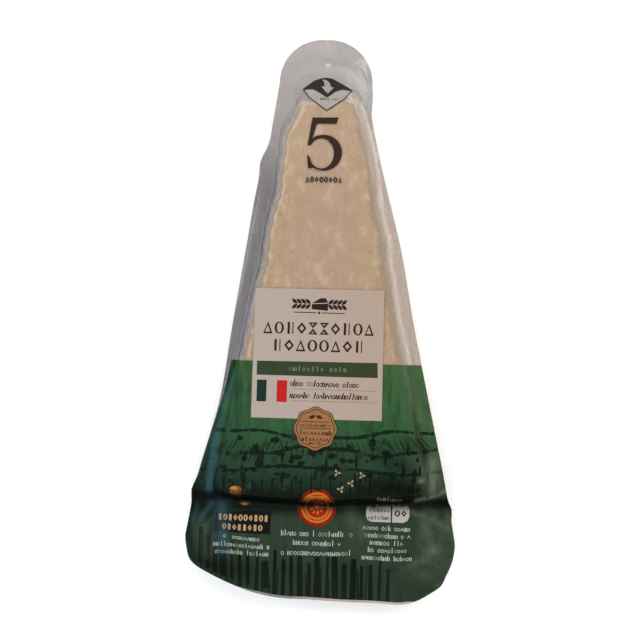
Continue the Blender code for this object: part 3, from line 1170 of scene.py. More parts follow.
@dataclass(frozen=True)
class FilmWrinkles:
    """Small wrinkles of the lid film that the plain construction leaves out."""

    hatch_centre: tuple = (-9.0, 88.5)
    hatch_half_size: tuple = (5.5, 6.5)
    hatch_pitch: float = 1.7
    hatch_height: float = 0.03
    pleat_height: float = 0.06
    tail_from: float = -66.0
    tail_height: float = 0.16
    all_over: float = 0.05
    ridges: tuple = (
        ((-47, -70.5), (-50.5, -82), 1, 0.55), ((-40, -75.5), (-49, -90), 1.3, 0.45),
        ((-44, -80), (-42, -101), 1.5, -0.4), ((43, -77), (50.5, -84), 1.4, 0.55),
        ((39.5, -80), (45.5, -98), 1.7, 0.5), ((30, -99), (47, -94), 1.6, 0.45),
        ((34, -87), (49, -90.5), 1.1, -0.4), ((4, -75), (10, -84), 2.4, 0.35),
        ((-20, -76), (28, -78), 1.3, 0.25), ((-45.5, -60), (-34.6, 2), 0.8, 0.35),
        ((-47.5, -62), (-38.5, -10), 0.7, -0.25), ((-34.6, 0), (-24, 58), 0.9, 0.30),
        ((45.5, -58), (34.4, 4), 0.9, 0.22))

    def height(self, points: np.ndarray) -> np.ndarray:
        """Height of the wrinkles at plane points, in millimetres.

        Args:
            points: Plane points.

        Returns:
            The heights.
        """
        offset = (points - np.array(self.hatch_centre)) / np.array(self.hatch_half_size)
        near = np.exp(-(offset**2).sum(axis=1) * 1.6)
        slant = (points[:, 0] * 0.75 + points[:, 1]) / self.hatch_pitch
        relief = self.hatch_height * near * np.sin(2.0 * math.pi * slant + ruffle(points, 5.0, 1.7))
        for start, end, width, tall in self.ridges:
            relief += ridge(points, start, end, width, tall)
        tail = smooth_step((self.tail_from - points[:, 1]) / 12.0)
        relief += self.tail_height * tail * ruffle(points, 9.0, 4.1)
        return relief + self.all_over * ruffle(points, 6.0, 8.3)


# ---- meshing ----


class Sheet:
    """A surface of joined rings and caps, in millimetres."""

    def __init__(self, rings: Sequence[tuple[np.ndarray, np.ndarray | float]]) -> None:
        """Join rings, each a loop and its level, that run outwards below or upwards outside.

        Args:
            rings: The rings.
        """
        self.loops = [loop for loop, _ in rings]
        self.points = np.concatenate([np.column_stack((loop, np.broadcast_to(level, len(loop))))
                                      for loop, level in rings])
        self.faces: list[Face] = []
        count = len(self.loops[0])
        for start in range(0, len(self.points) - count, count):
            lower = np.arange(start, start + count)
            after = np.roll(lower, -1)
            quads = np.stack((lower, after, after + count, lower + count), 1)
            self.faces += [tuple(quad) for quad in quads.tolist()]

    def cap(self, step: float, level: Callable[[np.ndarray], np.ndarray] | float,
            up: bool = True) -> None:
        """Fill the last ring with a cap that faces up, or the first with one that faces down.

        Args:
            step: Length of the triangles' sides.
            level: Level of the cap, or what gives it at plane points.
            up: Which of the two.
        """
        ring = len(self.loops) - 1 if up else 0
        loop = self.loops[ring]
        rim = np.arange(len(loop)) + ring * len(loop)
        inner = lattice(loop, step, CAP_MARGIN)
        levels = level(inner) if callable(level) else np.full(len(inner), level)
        numbers = np.concatenate((rim, np.arange(len(inner)) + len(self.points)))
        self.points = np.concatenate((self.points, np.column_stack((inner, levels))))
        _, faces, sources = fill([loop], inner)
        for face in faces:
            corners = tuple(int(numbers[sources[i]]) for i in face)
            self.faces.append(corners if up else corners[::-1])

    def normals(self) -> np.ndarray:
        """Unit normals at the points.

        Returns:
            The normals.
        """
        normals = np.zeros_like(self.points)
        for face in self.faces:
            corners = self.points[list(face)]
            if len(face) == 4:
                across = np.cross(corners[2] - corners[0], corners[3] - corners[1])
            else:
                across = np.cross(corners[1] - corners[0], corners[2] - corners[0])
            normals[list(face)] += across
        return normals / np.maximum(np.linalg.norm(normals, axis=1), TINY)[:, None]


def thicken(points: np.ndarray, faces: list[Face],
            offset: np.ndarray) -> tuple[np.ndarray, list[Face]]:
    """Close a sheet into a slab.

    Args:
        points: The sheet's points.
        faces: Its faces, which keep pointing the way they do.
        offset: Way to the far side, one for all points or one for each.

    Returns:
        Points and faces of the slab, with walls round every free edge.
    """
    count = len(points)
    directed = {edge for face in faces for edge in zip(face, face[1:] + face[:1])}
    rims = sorted(edge for edge in directed if edge[::-1] not in directed)
    far = [tuple(i + count for i in reversed(face)) for face in faces]
    walls = [(a, a + count, b + count, b) for a, b in rims]
    return np.concatenate((points, points + offset)), faces + far + walls


def make_piece(name: str, points: np.ndarray, faces: list[Face], finish: Finish,
               form: PackForm, veil: Veil, sharp: float = 40.0) -> bpy.types.Object:
    """Make one piece of the pack.

    Args:
        name: The piece's name.
        points: Its points in millimetres.
        faces: Its faces.
        finish: Its finish.
        form: The pack, for how far each point lies outside the cheese.
        veil: Shadows and reflections over the piece.
        sharp: Angle in degrees past which an edge stays sharp.

    Returns:
        The piece, riding on the pack's body in place of its solid.
    """
    mesh = bpy.data.meshes.new(name)
    mesh.from_pydata((points * MM).tolist(), [], faces)
    mesh.validate()
    store(mesh, "out", signed_distance(points[:, :2], form.food()))
    veil.paint(mesh, points[:, :2])
    mesh.materials.append(finish.material())
    mesh.shade_smooth()
    mesh.set_sharp_from_angle(angle=math.radians(sharp))
    return settle(linked(name, mesh))


def linked(name: str, data: Any) -> bpy.types.Object:
    """A new object of the scene with some data.

    Args:
        name: Name of the object.
        data: Its mesh, lamp or camera.

    Returns:
        The object.
    """
    made = bpy.data.objects.new(name, data)
    bpy.context.scene.collection.objects.link(made)
    return made


def settle(piece: bpy.types.Object) -> bpy.types.Object:
    """Put a finished piece on the pack's body, in place of the pack's solid, and report it.

    Args:
        piece: The piece.

    Returns:
        The same piece.
    """
    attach(piece, BODY)
    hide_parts(PACK_NODE)
    triangles = sum(len(polygon.vertices) - 2 for polygon in piece.data.polygons)
    LOG.info("%s: %d triangles", piece.name, triangles)
    return piece


# ---- patterns ----


class PatternTree(NodeBoard):
    """A Geometry Nodes tree with named inputs that ends in Realize Instances and Set Material."""

    def __init__(self, name: str) -> None:
        """Start a tree with a host geometry, a finish and an output.

        Args:
            name: Name of the tree.
        """
        super().__init__(bpy.data.node_groups.new(name, "GeometryNodeTree"))
        self.entry = self.tree.nodes.new("NodeGroupInput")
        self.host = self.size("Host", "NodeSocketGeometry")
        self.finish = self.size("Finish", "NodeSocketMaterial")
        self.tree.interface.new_socket("Result", in_out="OUTPUT", socket_type="NodeSocketGeometry")

    def size(self, name: str, kind: str = "NodeSocketFloat") -> Signal:
        """A named input of the tree."""
        self.tree.interface.new_socket(name, in_out="INPUT", socket_type=kind)
        return Signal(self, self.entry.outputs[name])

    def sizes(self, *names: str) -> list[Signal]:
        """Named inputs of the tree that are numbers."""
        return [self.size(name) for name in names]

    def random(self, low: Any, high: Any, seed: Signal, salt: int) -> Signal:
        """A random number, or vector where low and high are vectors, for each instance.

        Args:
            low: Least value.
            high: Largest value.
            seed: Seed of the pattern.
            salt: What sets this number apart from others of the seed.

        Returns:
            The random value.
        """
        vector = isinstance(low, tuple)
        first = 0 if vector else 2
        kind = "FLOAT_VECTOR" if vector else "FLOAT"
        return self.add("FunctionNodeRandomValue", {"data_type": kind},
                        {first: low, first + 1: high, 8: seed + float(salt)}, 0 if vector else 1)

    def grid(self, width: Signal | float, height: Signal | float, across: int, up: int) -> Signal:
        """A flat grid with numbers of points across and up."""
        return self.add("GeometryNodeMeshGrid", sockets={
            "Size X": width, "Size Y": height, "Vertices X": across, "Vertices Y": up})

    def circle(self, corners: Signal | int, radius: Signal, filled: bool = True) -> Signal:
        """A polygon, or only its rim."""
        return self.add("GeometryNodeMeshCircle", {"fill_type": "NGON" if filled else "NONE"},
                        {"Vertices": corners, "Radius": radius})

    def moved(self, shape: Signal, **shift: Signal | float) -> Signal:
        """The shape moved by X and Y."""
        return self.add("GeometryNodeTransform", sockets={
            "Geometry": shape, "Translation": self.vector(**shift)})

    def shaped(self, shape: Signal, place: Signal) -> Signal:
        """The shape with its points at other places."""
        return self.add("GeometryNodeSetPosition", sockets={"Geometry": shape, "Position": place})

    def joined(self, shapes: list[Signal]) -> Signal:
        """Several shapes as one."""
        return self.add("GeometryNodeJoinGeometry", sockets={0: shapes})

    def stations(self, pitch: Signal) -> Signal:
        """Points along the host's edges, a pitch apart."""
        rows = self.add("GeometryNodeMeshToCurve", sockets={"Mesh": self.host})
        return self.add("GeometryNodeResampleCurve", {"mode": "LENGTH"},
                        {"Curve": rows, "Length": pitch})

    def close(self, points: Signal, instance: Signal, **sockets: Any) -> "PatternTree":
        """Set an instance on points, realize it, give it the finish and end the tree.

        Args:
            points: Where the instances go.
            instance: What goes there.
            sockets: Further inputs of the instancing; a name has lines in place of its spaces.

        Returns:
            The tree.
        """
        named = {name.replace("_", " "): value for name, value in sockets.items()}
        instances = self.add("GeometryNodeInstanceOnPoints",
                             sockets={"Points": points, "Instance": instance, **named})
        real = self.add("GeometryNodeRealizeInstances", sockets={"Geometry": instances})
        dressed = self.add("GeometryNodeSetMaterial",
                           sockets={"Geometry": real, "Material": self.finish})
        self.add("NodeGroupOutput", sockets={"Result": dressed})
        return self

    def grow(self, name: str, host: bpy.types.Mesh, finish: Finish,
             sizes: dict[str, float]) -> bpy.types.Object:
        """Evaluate the tree on a host mesh.

        Args:
            name: Name of the object.
            host: Mesh that the pattern follows.
            finish: Finish of every instance.
            sizes: Values of the named inputs.

        Returns:
            An object that holds the result as a plain mesh.
        """
        grown = linked(name, host)
        modifier = grown.modifiers.new(name, "NODES")
        modifier.node_group = self.tree
        values = {"Finish": finish.material(), **sizes}
        for item in self.tree.interface.items_tree:
            if item.in_out == "INPUT" and item.name in values:
                modifier[item.identifier] = values[item.name]
        graph = bpy.context.evaluated_depsgraph_get()
        mesh = bpy.data.meshes.new_from_object(grown.evaluated_get(graph), depsgraph=graph)
        grown.modifiers.remove(modifier)
        grown.data = mesh
        mesh.name = name
        return grown


@functools.cache
def dots_tree() -> PatternTree:
    """Round dots along rows.

    Returns:
        The tree.
    """
    tree = PatternTree("dots_along_rows")
    pitch, radius, spread, seed = tree.sizes("Pitch", "Radius", "Spread", "Seed")
    return tree.close(tree.stations(pitch), tree.circle(8, radius),
                      Scale=tree.random(1.0, 1.0 + spread, seed, 1))


@functools.cache
def marks_tree() -> PatternTree:
    """Abstract marks in a row: bars, rings, chevrons and slants, with gaps as between words.

    Returns:
        The tree.
    """
    tree = PatternTree("marks_in_rows")
    pitch, stroke, height, gaps, lean, seed = tree.sizes("Pitch", "Stroke", "Height", "Gaps",
                                                         "Lean", "Seed")
    low = height * 0.70

    def ring(corners: int, radius: Signal) -> Signal:
        """A narrow polygon's rim that stands on the row."""
        rim = tree.circle(corners, radius, filled=False)
        place = tree.add("GeometryNodeInputPosition")
        inward = tree.add("ShaderNodeVectorMath", {"operation": "SCALE"},
                          {0: place, "Scale": stroke / radius * -1.0})
        band = tree.add("GeometryNodeExtrudeMesh", {"mode": "EDGES"},
                        {"Mesh": rim, "Offset": inward, "Offset Scale": 1.0})
        narrow = tree.add("GeometryNodeTransform", sockets={"Geometry": band,
                                                            "Scale": (0.78, 1.0, 1.0)})
        return tree.moved(narrow, Y=radius)

    def bars(*tops: Signal) -> Signal:
        """Upright strokes side by side, of these heights."""
        middle = 0.5 * (len(tops) - 1)
        return tree.joined([
            tree.moved(tree.moved(tree.grid(stroke, top, 2, 2), Y=top * 0.5),
                       X=low * 0.42 * (place - middle)) for place, top in enumerate(tops)])

    x, y, _ = tree.axes(tree.add("GeometryNodeInputPosition"))
    bent = tree.grid(low * 0.75, stroke * 1.6, 3, 2)
    shapes = [bars(height, low), bars(low, low), ring(7, low * 0.5), ring(4, low * 0.55),
              ring(6, low * 0.5), bars(low, low, low), bars(height), ring(8, low * 0.5)]
    shapes += [tree.shaped(bent, tree.vector(X=x, Y=y + low * start + abs(x) * rise))
               for start, rise in ((0.88, -2), (0.12, 2))]
    choice = tree.joined([tree.add("GeometryNodeGeometryToInstance", sockets={0: shape})
                          for shape in shapes])
    pick = tree.random(0.0, len(shapes) - 0.01, seed, 2)
    keep = tree.math("GREATER_THAN", tree.random(0.0, 1.0, seed, 3), gaps)
    return tree.close(
        tree.stations(pitch), choice, Selection=keep, Pick_Instance=True,
        Instance_Index=tree.math("FLOOR", pick), Rotation=tree.vector(Z=lean),
        Scale=tree.random((0.9, 0.94, 1.0), (1.08, 1.04, 1.0), seed, 4))


@functools.cache
def reeds_tree() -> PatternTree:
    """Leaning blades that stand on rows, each tapered to its tip.

    Returns:
        The tree.
    """
    tree = PatternTree("reeds_on_rows")
    pitch, thin, thick, short, tall, lean, taper, seed = tree.sizes(
        "Pitch", "Thin", "Thick", "Short", "Tall", "Lean", "Taper", "Seed")
    x, y, _ = tree.axes(tree.add("GeometryNodeInputPosition"))
    blade = tree.shaped(tree.moved(tree.grid(1.0, 1.0, 2, 9), Y=0.5),
                        tree.vector(X=x * (1.0 - y * y * taper), Y=y))
    return tree.close(
        tree.stations(pitch), blade,
        Rotation=tree.vector(Z=tree.random(lean * -1.0, lean, seed, 3)),
        Scale=tree.vector(X=tree.random(thin, thick, seed, 1), Y=tree.random(short, tall, seed, 2),
                          Z=1.0))


@functools.cache
def crystals_tree() -> PatternTree:
    """Small grains scattered over the faces of the host.

    Returns:
        The tree.
    """
    tree = PatternTree("grains_on_faces")
    density, radius, seed = tree.sizes("Density", "Radius", "Seed")
    points = tree.add("GeometryNodeDistributePointsOnFaces", sockets={
        "Mesh": tree.host, "Density": density, "Seed": seed})
    grain = tree.add("GeometryNodeMeshIcoSphere", sockets={"Radius": radius, "Subdivisions": 1})
    return tree.close(points, grain, Rotation=points.output("Rotation"),
                      Scale=tree.random((0.5, 0.5, 0.4), (1.3, 1.2, 0.9), seed, 1))


@functools.cache
def scallops_tree() -> PatternTree:
    """Discs set on a circle, whose outer halves make a scalloped edge.

    Returns:
        The tree.
    """
    tree = PatternTree("scallops_on_circle")
    count, circle, radius = tree.sizes("Count", "Circle", "Radius")
    return tree.close(tree.circle(count, circle, filled=False), tree.circle(14, radius))


# ---- food and film ----


@dataclass
class CheeseWedge:
    """The wedge of cheese: cut faces, a flat top and the rind at the wide end."""

    form: PackForm
    clearance: float = 0.35
    slack: float = 0.05
    top_level: float = 21.15
    base_level: float = 0.35
    base_step: float = 4.0
    edge_round: float = 0.25
    edge_steps: int = 5
    swell: float = 0.40
    swell_from: float = 10.0
    wall_steps: int = 30
    top_step: float = 1.1
    crumble: float = 1.05
    nose_retreat: float = 2.0
    crystal_radius: float = 0.13
    crystal_density: float = 30000.0
    seed: int = 11

    def loop(self, out: float, level: float, share: float = 1.0) -> np.ndarray:
        """The broken side at a level: the footprint moved out, less a share of what broke off.

        Args:
            out: How far the footprint is moved out.
            level: The level.
            share: The share.

        Returns:
            The loop.
        """
        points = self.form.cheese()
        coarse = noise_at(points, 0.13, level * 0.18)
        fine = noise_at(points, 0.55, level * 0.7 + 5.0)
        bites = np.clip(1.05 * coarse + 0.42 * fine + 0.38, 0.0, 1.5)
        at_nose = smooth_step((self.form.normals()[:, 1] - 0.35) / 0.4)
        gone = self.crumble * bites + self.nose_retreat * at_nose
        return self.form.off_cheese(out - gone * share)

    def top_relief(self, points: np.ndarray) -> np.ndarray:
        """Level of the top face: soft dents, and a few shallow pits.

        Args:
            points: Plane points.

        Returns:
            The levels.
        """
        dents = 0.10 * ruffle(points, 17.0, 2.2) + 0.10 * ruffle(points, 5.0, 6.4)
        pits = 0.45 * smooth_step((ruffle(points, 3.6, 9.9) - 0.62) / 0.3)
        return self.top_level - 0.16 + dents - pits

    def build(self) -> None:
        """Make the wedge and its crystals."""
        rings = []
        for sine, out, rise in self.form.fillet():
            level = self.base_level + rise
            rings.append((self.loop(out - self.clearance, level, sine), level))
        foot = self.base_level + self.form.base_fillet
        shoulder = self.top_level - self.edge_round
        for share in np.linspace(0.0, 1.0, self.wall_steps + 1)[1:]:
            level = foot + (shoulder - foot) * share
            swell = self.swell * smooth_step((level - self.swell_from) / 6.0)
            rings.append((self.loop(self.slack + swell, level), level))
        for angle in np.linspace(0.0, 0.5 * math.pi, self.edge_steps)[1:]:
            out = self.slack + self.swell - self.edge_round * (1.0 - math.cos(angle))
            rings.append((self.loop(out, shoulder), shoulder + self.edge_round * math.sin(angle)))
        sheet = Sheet(rings)
        sheet.cap(self.top_step, self.top_relief)
        sheet.cap(self.base_step, self.base_level, up=False)
        wedge = make_piece("cheese_wedge", sheet.points, sheet.faces, CheeseFinish("cheese_paste"),
                           self.form, FILM_VEIL, 60.0)
        settle(crystals_tree().grow(
            "cheese_crystals", wedge.data.copy(), CrystalFinish("cheese_crystals"),
            {"Density": self.crystal_density, "Radius": self.crystal_radius * MM,
             "Seed": float(self.seed)}))


@dataclass
class LidFilm:
    """The lid film: flat over the cheese, sloping to a groove, and flat again on the flange."""

    form: PackForm
    wrinkles: FilmWrinkles = FilmWrinkles()
    # Slopes painted shaded at the left and lit at the right, with a painted light band along the
    # cheese's edge.
    finish: FilmFinish = FilmFinish("lid_film", tone(148, 140, 138), tone(222, 198, 176),
                                    clear_haze=0.03, slope_haze=0.40, edge_light_haze=0.42)
    thickness: float = 0.10
    top_inset: float = 0.8
    groove: float = 0.14
    flange_steps: int = 36
    drop_steps: int = 12
    top_step: float = 1.2
    nose_from: float = 70.0

    def flange_ring(self, t: float) -> tuple[np.ndarray, np.ndarray]:
        """Loop and levels of the flange's upper side, from the groove, 0, to the edge, 1.

        Args:
            t: How far out the ring lies.

        Returns:
            The loop and its levels.
        """
        form = self.form
        loop = form.off_cheese((form.reach() + form.groove_width) * (1.0 - t) + form.gap() * t)
        relief = form.flange_relief(loop) * smooth_step(t / form.relief_ease)
        relief = relief + self.wrinkles.height(loop) * smooth_step(t / 0.15)
        return loop, form.flange_level + relief

    def top_level(self, points: np.ndarray) -> np.ndarray:
        """Level of the film over the cheese's top face."""
        return self.form.lid_level - 0.04 + 0.035 * ruffle(points, 16.0, 2.2)

    def rings(self) -> list[tuple[np.ndarray, np.ndarray]]:
        """Loops from the flange's edge up to the flat over the cheese.

        Returns:
            Each loop with its levels.
        """
        form = self.form
        rings = [self.flange_ring(t) for t in np.linspace(1.0, 0.0, self.flange_steps + 1)]
        flat = rings[-1][1] - form.flange_level
        to_nose = smooth_step((form.cheese()[:, 1] - self.nose_from) / 12.0)
        at_ends = np.maximum(to_nose, smooth_step(-1.6 * form.normals()[:, 1]))
        depth = self.groove * (1.0 - 0.94 * at_ends)
        for share in (0.33, 0.66, 1.0):
            loop = form.off_cheese(form.reach() + form.groove_width * (1.0 - share))
            dip = depth * smooth_step(share)
            rings.append((loop, form.flange_level - dip + flat * (1.0 - share)))
        drop = form.lid_level - form.flange_level + depth
        wave = ruffle(form.cheese(), 4.0, 3.3)
        for share in np.linspace(1.0, 0.0, self.drop_steps + 1)[1:]:
            level = form.lid_level - drop * math.sin(0.5 * math.pi * share) ** form.drop_shape
            loop = form.off_cheese(form.reach() * share)
            pleat = self.wrinkles.pleat_height * math.sin(math.pi * share)
            rings.append((loop, level + pleat * wave + self.hatch(loop) * share))
        rings.append((form.off_cheese(-0.5 * self.top_inset), form.lid_level - 0.02))
        return rings

    def hatch(self, loop: np.ndarray) -> np.ndarray:
        """The fine wrinkles at the nose, which also run over the slope."""
        return self.wrinkles.height(loop) * smooth_step((loop[:, 1] - self.nose_from) / 8.0)

    def build(self) -> BVHTree:
        """Make the lid and give its upper side for laying print on.

        Returns:
            The upper side.
        """
        sheet = Sheet(self.rings())
        sheet.cap(self.top_step, self.top_level)
        down = np.array((0.0, 0.0, -self.thickness))
        make_piece("lid_film", *thicken(sheet.points, sheet.faces, down), self.finish, self.form,
                   FILM_VEIL, 50.0)
        return BVHTree.FromPolygons([Vector(point) for point in sheet.points], sheet.faces)


@dataclass
class TrayFilm:
    """The formed tray: flat base, fillet, wall that clings to the cheese, and the flange."""

    form: PackForm
    lid: LidFilm
    # Slopes painted shaded at the left and lit at the right.
    finish: FilmFinish = FilmFinish("tray_film", tone(146, 138, 136), tone(216, 196, 178),
                                    clear_haze=0.02, slope_haze=0.05)
    thickness: float = 0.18
    under_lid: float = 0.16
    shoulder: float = 0.35
    wall_steps: int = 18
    flange_steps: int = 20
    base_step: float = 6.0
    pleat: float = 0.16

    def pleats(self, level: float) -> np.ndarray:
        """How far the wall is drawn in by upright pleats at a level.

        Args:
            level: The level.

        Returns:
            The depths at the points of the footprint.
        """
        waves = noise_at(self.form.cheese(), 0.24, level * 0.03)
        share = level / self.form.flange_level
        return self.pleat * (0.3 + 0.7 * share) * np.clip(waves * 2.0, -1.0, 1.0)

    def build(self) -> None:
        """Make the tray under the lid's flange."""
        form = self.form
        rings = [(form.off_cheese(out), rise) for _, out, rise in form.fillet()]
        top = form.flange_level - form.groove_depth - self.under_lid - self.shoulder
        for share in np.linspace(0.0, 1.0, self.wall_steps + 1)[1:]:
            level = form.base_fillet + (top - form.base_fillet) * share
            flare = form.cling + (form.reach() - form.seal_land) * share**form.flare_power
            edge = math.sin(math.pi * min(1.0, 1.15 * share))
            rings.append((form.off_cheese(flare - self.pleats(level) * edge), level))
        for t in np.linspace(0.0, 1.0, self.flange_steps + 1):
            loop, level = self.lid.flange_ring(t)
            rings.append((loop, level - self.under_lid - self.thickness))
        sheet = Sheet(rings)
        sheet.cap(self.base_step, 0.0, up=False)
        inward = -self.thickness * sheet.normals()
        make_piece("tray_film", *thicken(sheet.points, sheet.faces, inward), self.finish, form,
                   FILM_VEIL, 50.0)


# ---- print ----

Rims = list[np.ndarray]
Ink = Finish | tuple[float, ...]


class Layer(Enum):
    """Order in which the inks lie on the lid film, the lowest first."""

    FIELD = 0
    FAR_RIDGE = 1
    MIDDLE_RIDGE = 2
    NEAR_RIDGE = 3
    GROUND = 4
    MARKS = 5
    PANEL = 6
    PANEL_MARKS = 7
    BADGE = 8
    BADGE_MARKS = 9


@dataclass
class Press:
    """Lays print on the lid film: outlines and patterns in a frame turned on the pack.

    An ink is a finish, or the numbers of a display colour with its mottling as the fourth.
    """

    form: PackForm
    surface: BVHTree
    turn: float = math.radians(0.9)
    first_lift: float = 0.06
    layer_lift: float = 0.028
    ink_thickness: float = 0.02
    most_raise: float = 0.4
    above: float = 60.0

    @staticmethod
    def inked(name: str, ink: Ink) -> Finish:
        """The finish of an ink."""
        return ink if isinstance(ink, Finish) else InkFinish(name, tone(*ink[:3]), *ink[3:])

    def on_pack(self, points: np.ndarray) -> np.ndarray:
        """Points of the print's frame as they lie on the pack."""
        cos, sin = math.cos(self.turn), math.sin(self.turn)
        return points @ np.array(((cos, -sin), (sin, cos)))

    def levels(self, points: np.ndarray) -> np.ndarray:
        """Level of the lid film at plane points of the pack.

        Args:
            points: Plane points.

        Returns:
            The levels.
        """
        found = []
        for x, y in points:
            hit = self.surface.ray_cast(Vector((x, y, self.above)), Vector((0.0, 0.0, -1.0)))[0]
            if hit is None:
                hit = self.surface.find_nearest(Vector((x, y, self.form.flange_level)))[0]
            found.append(hit.z)
        return np.array(found)

    def lay(self, name: str, points: np.ndarray, faces: list[Face], ink: Ink,
            layer: Layer) -> None:
        """Lay a flat shape on the film as a thin closed piece.

        Args:
            name: Name of the piece.
            points: Plane points.
            faces: Anticlockwise faces on them.
            ink: The ink.
            layer: Where it lies among the inks.
        """
        plane = self.on_pack(points)
        levels = self.levels(plane)
        first, second = np.array(sorted({tuple(sorted(side)) for face in faces
                                         for side in zip(face, face[1:] + face[:1])})).T
        middles = self.levels(0.5 * (plane[first] + plane[second]))
        sunk = np.clip(middles - 0.5 * (levels[first] + levels[second]), 0.0, self.most_raise)
        raised = np.zeros(len(levels))
        np.maximum.at(raised, first, sunk)
        np.maximum.at(raised, second, sunk)
        levels = levels + raised + self.first_lift + self.layer_lift * layer.value
        slab = thicken(np.column_stack((plane, levels)), faces,
                       np.array((0.0, 0.0, -self.ink_thickness)))
        make_piece(name, *slab, self.inked(name, ink), self.form, PRINT_VEIL)

    def shapes(self, name: str, outlines: Sequence[Sequence[Any]], ink: Ink, layer: Layer,
               step: float = 0.8) -> None:
        """Lay several outlines, each a list of one rim and its holes, as one piece.

        Args:
            name: Name of the piece.
            outlines: The outlines.
            ink: The ink.
            layer: Where it lies among the inks.
            step: Length of its triangles' sides.
        """
        all_points, all_faces, start = [], [], 0
        for rims in outlines:
            points, faces = triangulate([np.asarray(rim, float) for rim in rims], step)
            all_points.append(points)
            all_faces += [tuple(i + start for i in face) for face in faces]
            start += len(points)
        self.lay(name, np.concatenate(all_points), all_faces, ink, layer)

    def pattern(self, name: str, tree: PatternTree, rows: Iterable[Iterable[Place]], ink: Ink,
                layer: Layer, centre: Place = (0.0, 0.0), clip: np.ndarray | None = None,
                **sizes: float) -> None:
        """Grow a pattern on rows, each a line through points, and lay it on the film.

        Args:
            name: Name of the piece.
            tree: The pattern's tree.
            rows: Lines that the pattern follows.
            ink: The ink.
            layer: Where it lies among the inks.
            centre: Where the pattern's own origin goes.
            clip: Outline on the pack that every face has to lie in.
            sizes: Values of the tree's named inputs.
        """
        host = bpy.data.meshes.new(name)
        points, edges = [], []
        for row in rows:
            start = len(points)
            points += [(u, v, 0.0) for u, v in row]
            edges += [(i, i + 1) for i in range(start, len(points) - 1)]
        host.from_pydata(points, edges, [])
        grown = tree.grow(name, host, self.inked(name, ink),
                          {key.capitalize(): value for key, value in sizes.items()})
        flat = np.array([vertex.co[:2] for vertex in grown.data.vertices]) + np.array(centre)
        faces = [face_up(flat, tuple(polygon.vertices)) for polygon in grown.data.polygons]
        bpy.data.objects.remove(grown)
        if clip is not None:
            inside = signed_distance(self.on_pack(flat), clip) < 0.0
            faces = [face for face in faces if inside[list(face)].all()]
            flat, faces = without_loose(flat, faces)
        self.lay(name, flat, faces, ink, layer)

    def marks(self, name: str, rows: Sequence[tuple[float, ...]], ink: Ink, layer: Layer,
              height: float, pitch: float, stroke: float, seed: float, gaps: float = 0.12,
              lean: float = 0.0) -> None:
        """Lay rows of small abstract marks, each row from (u, v) to (u, v) along its base."""
        lines = [(row[:2], row[2:]) for row in rows]
        self.pattern(name, marks_tree(), lines, ink, layer, pitch=pitch, stroke=stroke,
                     height=height, gaps=gaps, lean=lean, seed=seed)


def box_outline(left: float, right: float, low: float, high: float) -> np.ndarray:
    """A rectangle."""
    return np.array(((left, low), (right, low), (right, high), (left, high)))


def round_outline(centre: Place, radius: float, count: int = 40,
                  squash: float = 1.0) -> np.ndarray:
    """A circle, an ellipse or a regular polygon."""
    angles = np.arange(count) * 2.0 * math.pi / count
    return np.stack((centre[0] + radius * np.cos(angles),
                     centre[1] + radius * squash * np.sin(angles)), 1)


def leaf_outline(centre: Place, length: float, width: float, angle: float,
                 count: int = 9) -> np.ndarray:
    """A leaf with two points, turned by an angle.

    Args:
        centre: Its middle.
        length: Distance of its points.
        width: Largest width.
        angle: Angle in radians.
        count: How many points along one side.

    Returns:
        The outline.
    """
    along = np.linspace(-0.5, 0.5, count)
    half = 0.5 * width * np.cos(math.pi * along)
    lower = np.stack((along * length, -half), 1)
    upper = np.stack((along * length, half), 1)[-2:0:-1]
    cos, sin = math.cos(angle), math.sin(angle)
    turned = np.concatenate((lower, upper)) @ np.array(((cos, sin), (-sin, cos)))
    return turned + np.array(centre)


def line_outline(line: Sequence[Place], width: float) -> np.ndarray:
    """A thin band along a line through points, narrower at its ends.

    Args:
        line: The points.
        width: Width in the middle.

    Returns:
        The outline.
    """
    points = np.array(line, float)
    along = np.gradient(points, axis=0)
    aside = np.stack((-along[:, 1], along[:, 0]), 1)
    aside /= np.linalg.norm(aside, axis=1)[:, None]
    half = 0.5 * width * np.where(np.arange(len(points)) % (len(points) - 1) == 0, 0.6, 1.0)
    shift = aside * half[:, None]
    return np.concatenate((points - shift, (points + shift)[::-1]))


def clump_outline(centre: Place, radius: float, squash: float, count: int = 34) -> np.ndarray:
    """A bushy blot with an uneven edge.

    Args:
        centre: Its centre.
        radius: Its usual radius.
        squash: Its height as a share of its width.
        count: How many points.

    Returns:
        The outline.
    """
    angles = np.linspace(0.0, 2.0 * math.pi, count, endpoint=False)
    size = np.array([
        radius * (1.0 + 0.42 * noise.noise((1.6 * math.cos(a) + centre[0], 1.6 * math.sin(a), 0.3))
                  + 0.09 * math.sin(9.0 * a + centre[1])) for a in angles])
    return np.stack((centre[0] + size * np.cos(angles),
                     centre[1] + squash * size * np.sin(angles)), 1)


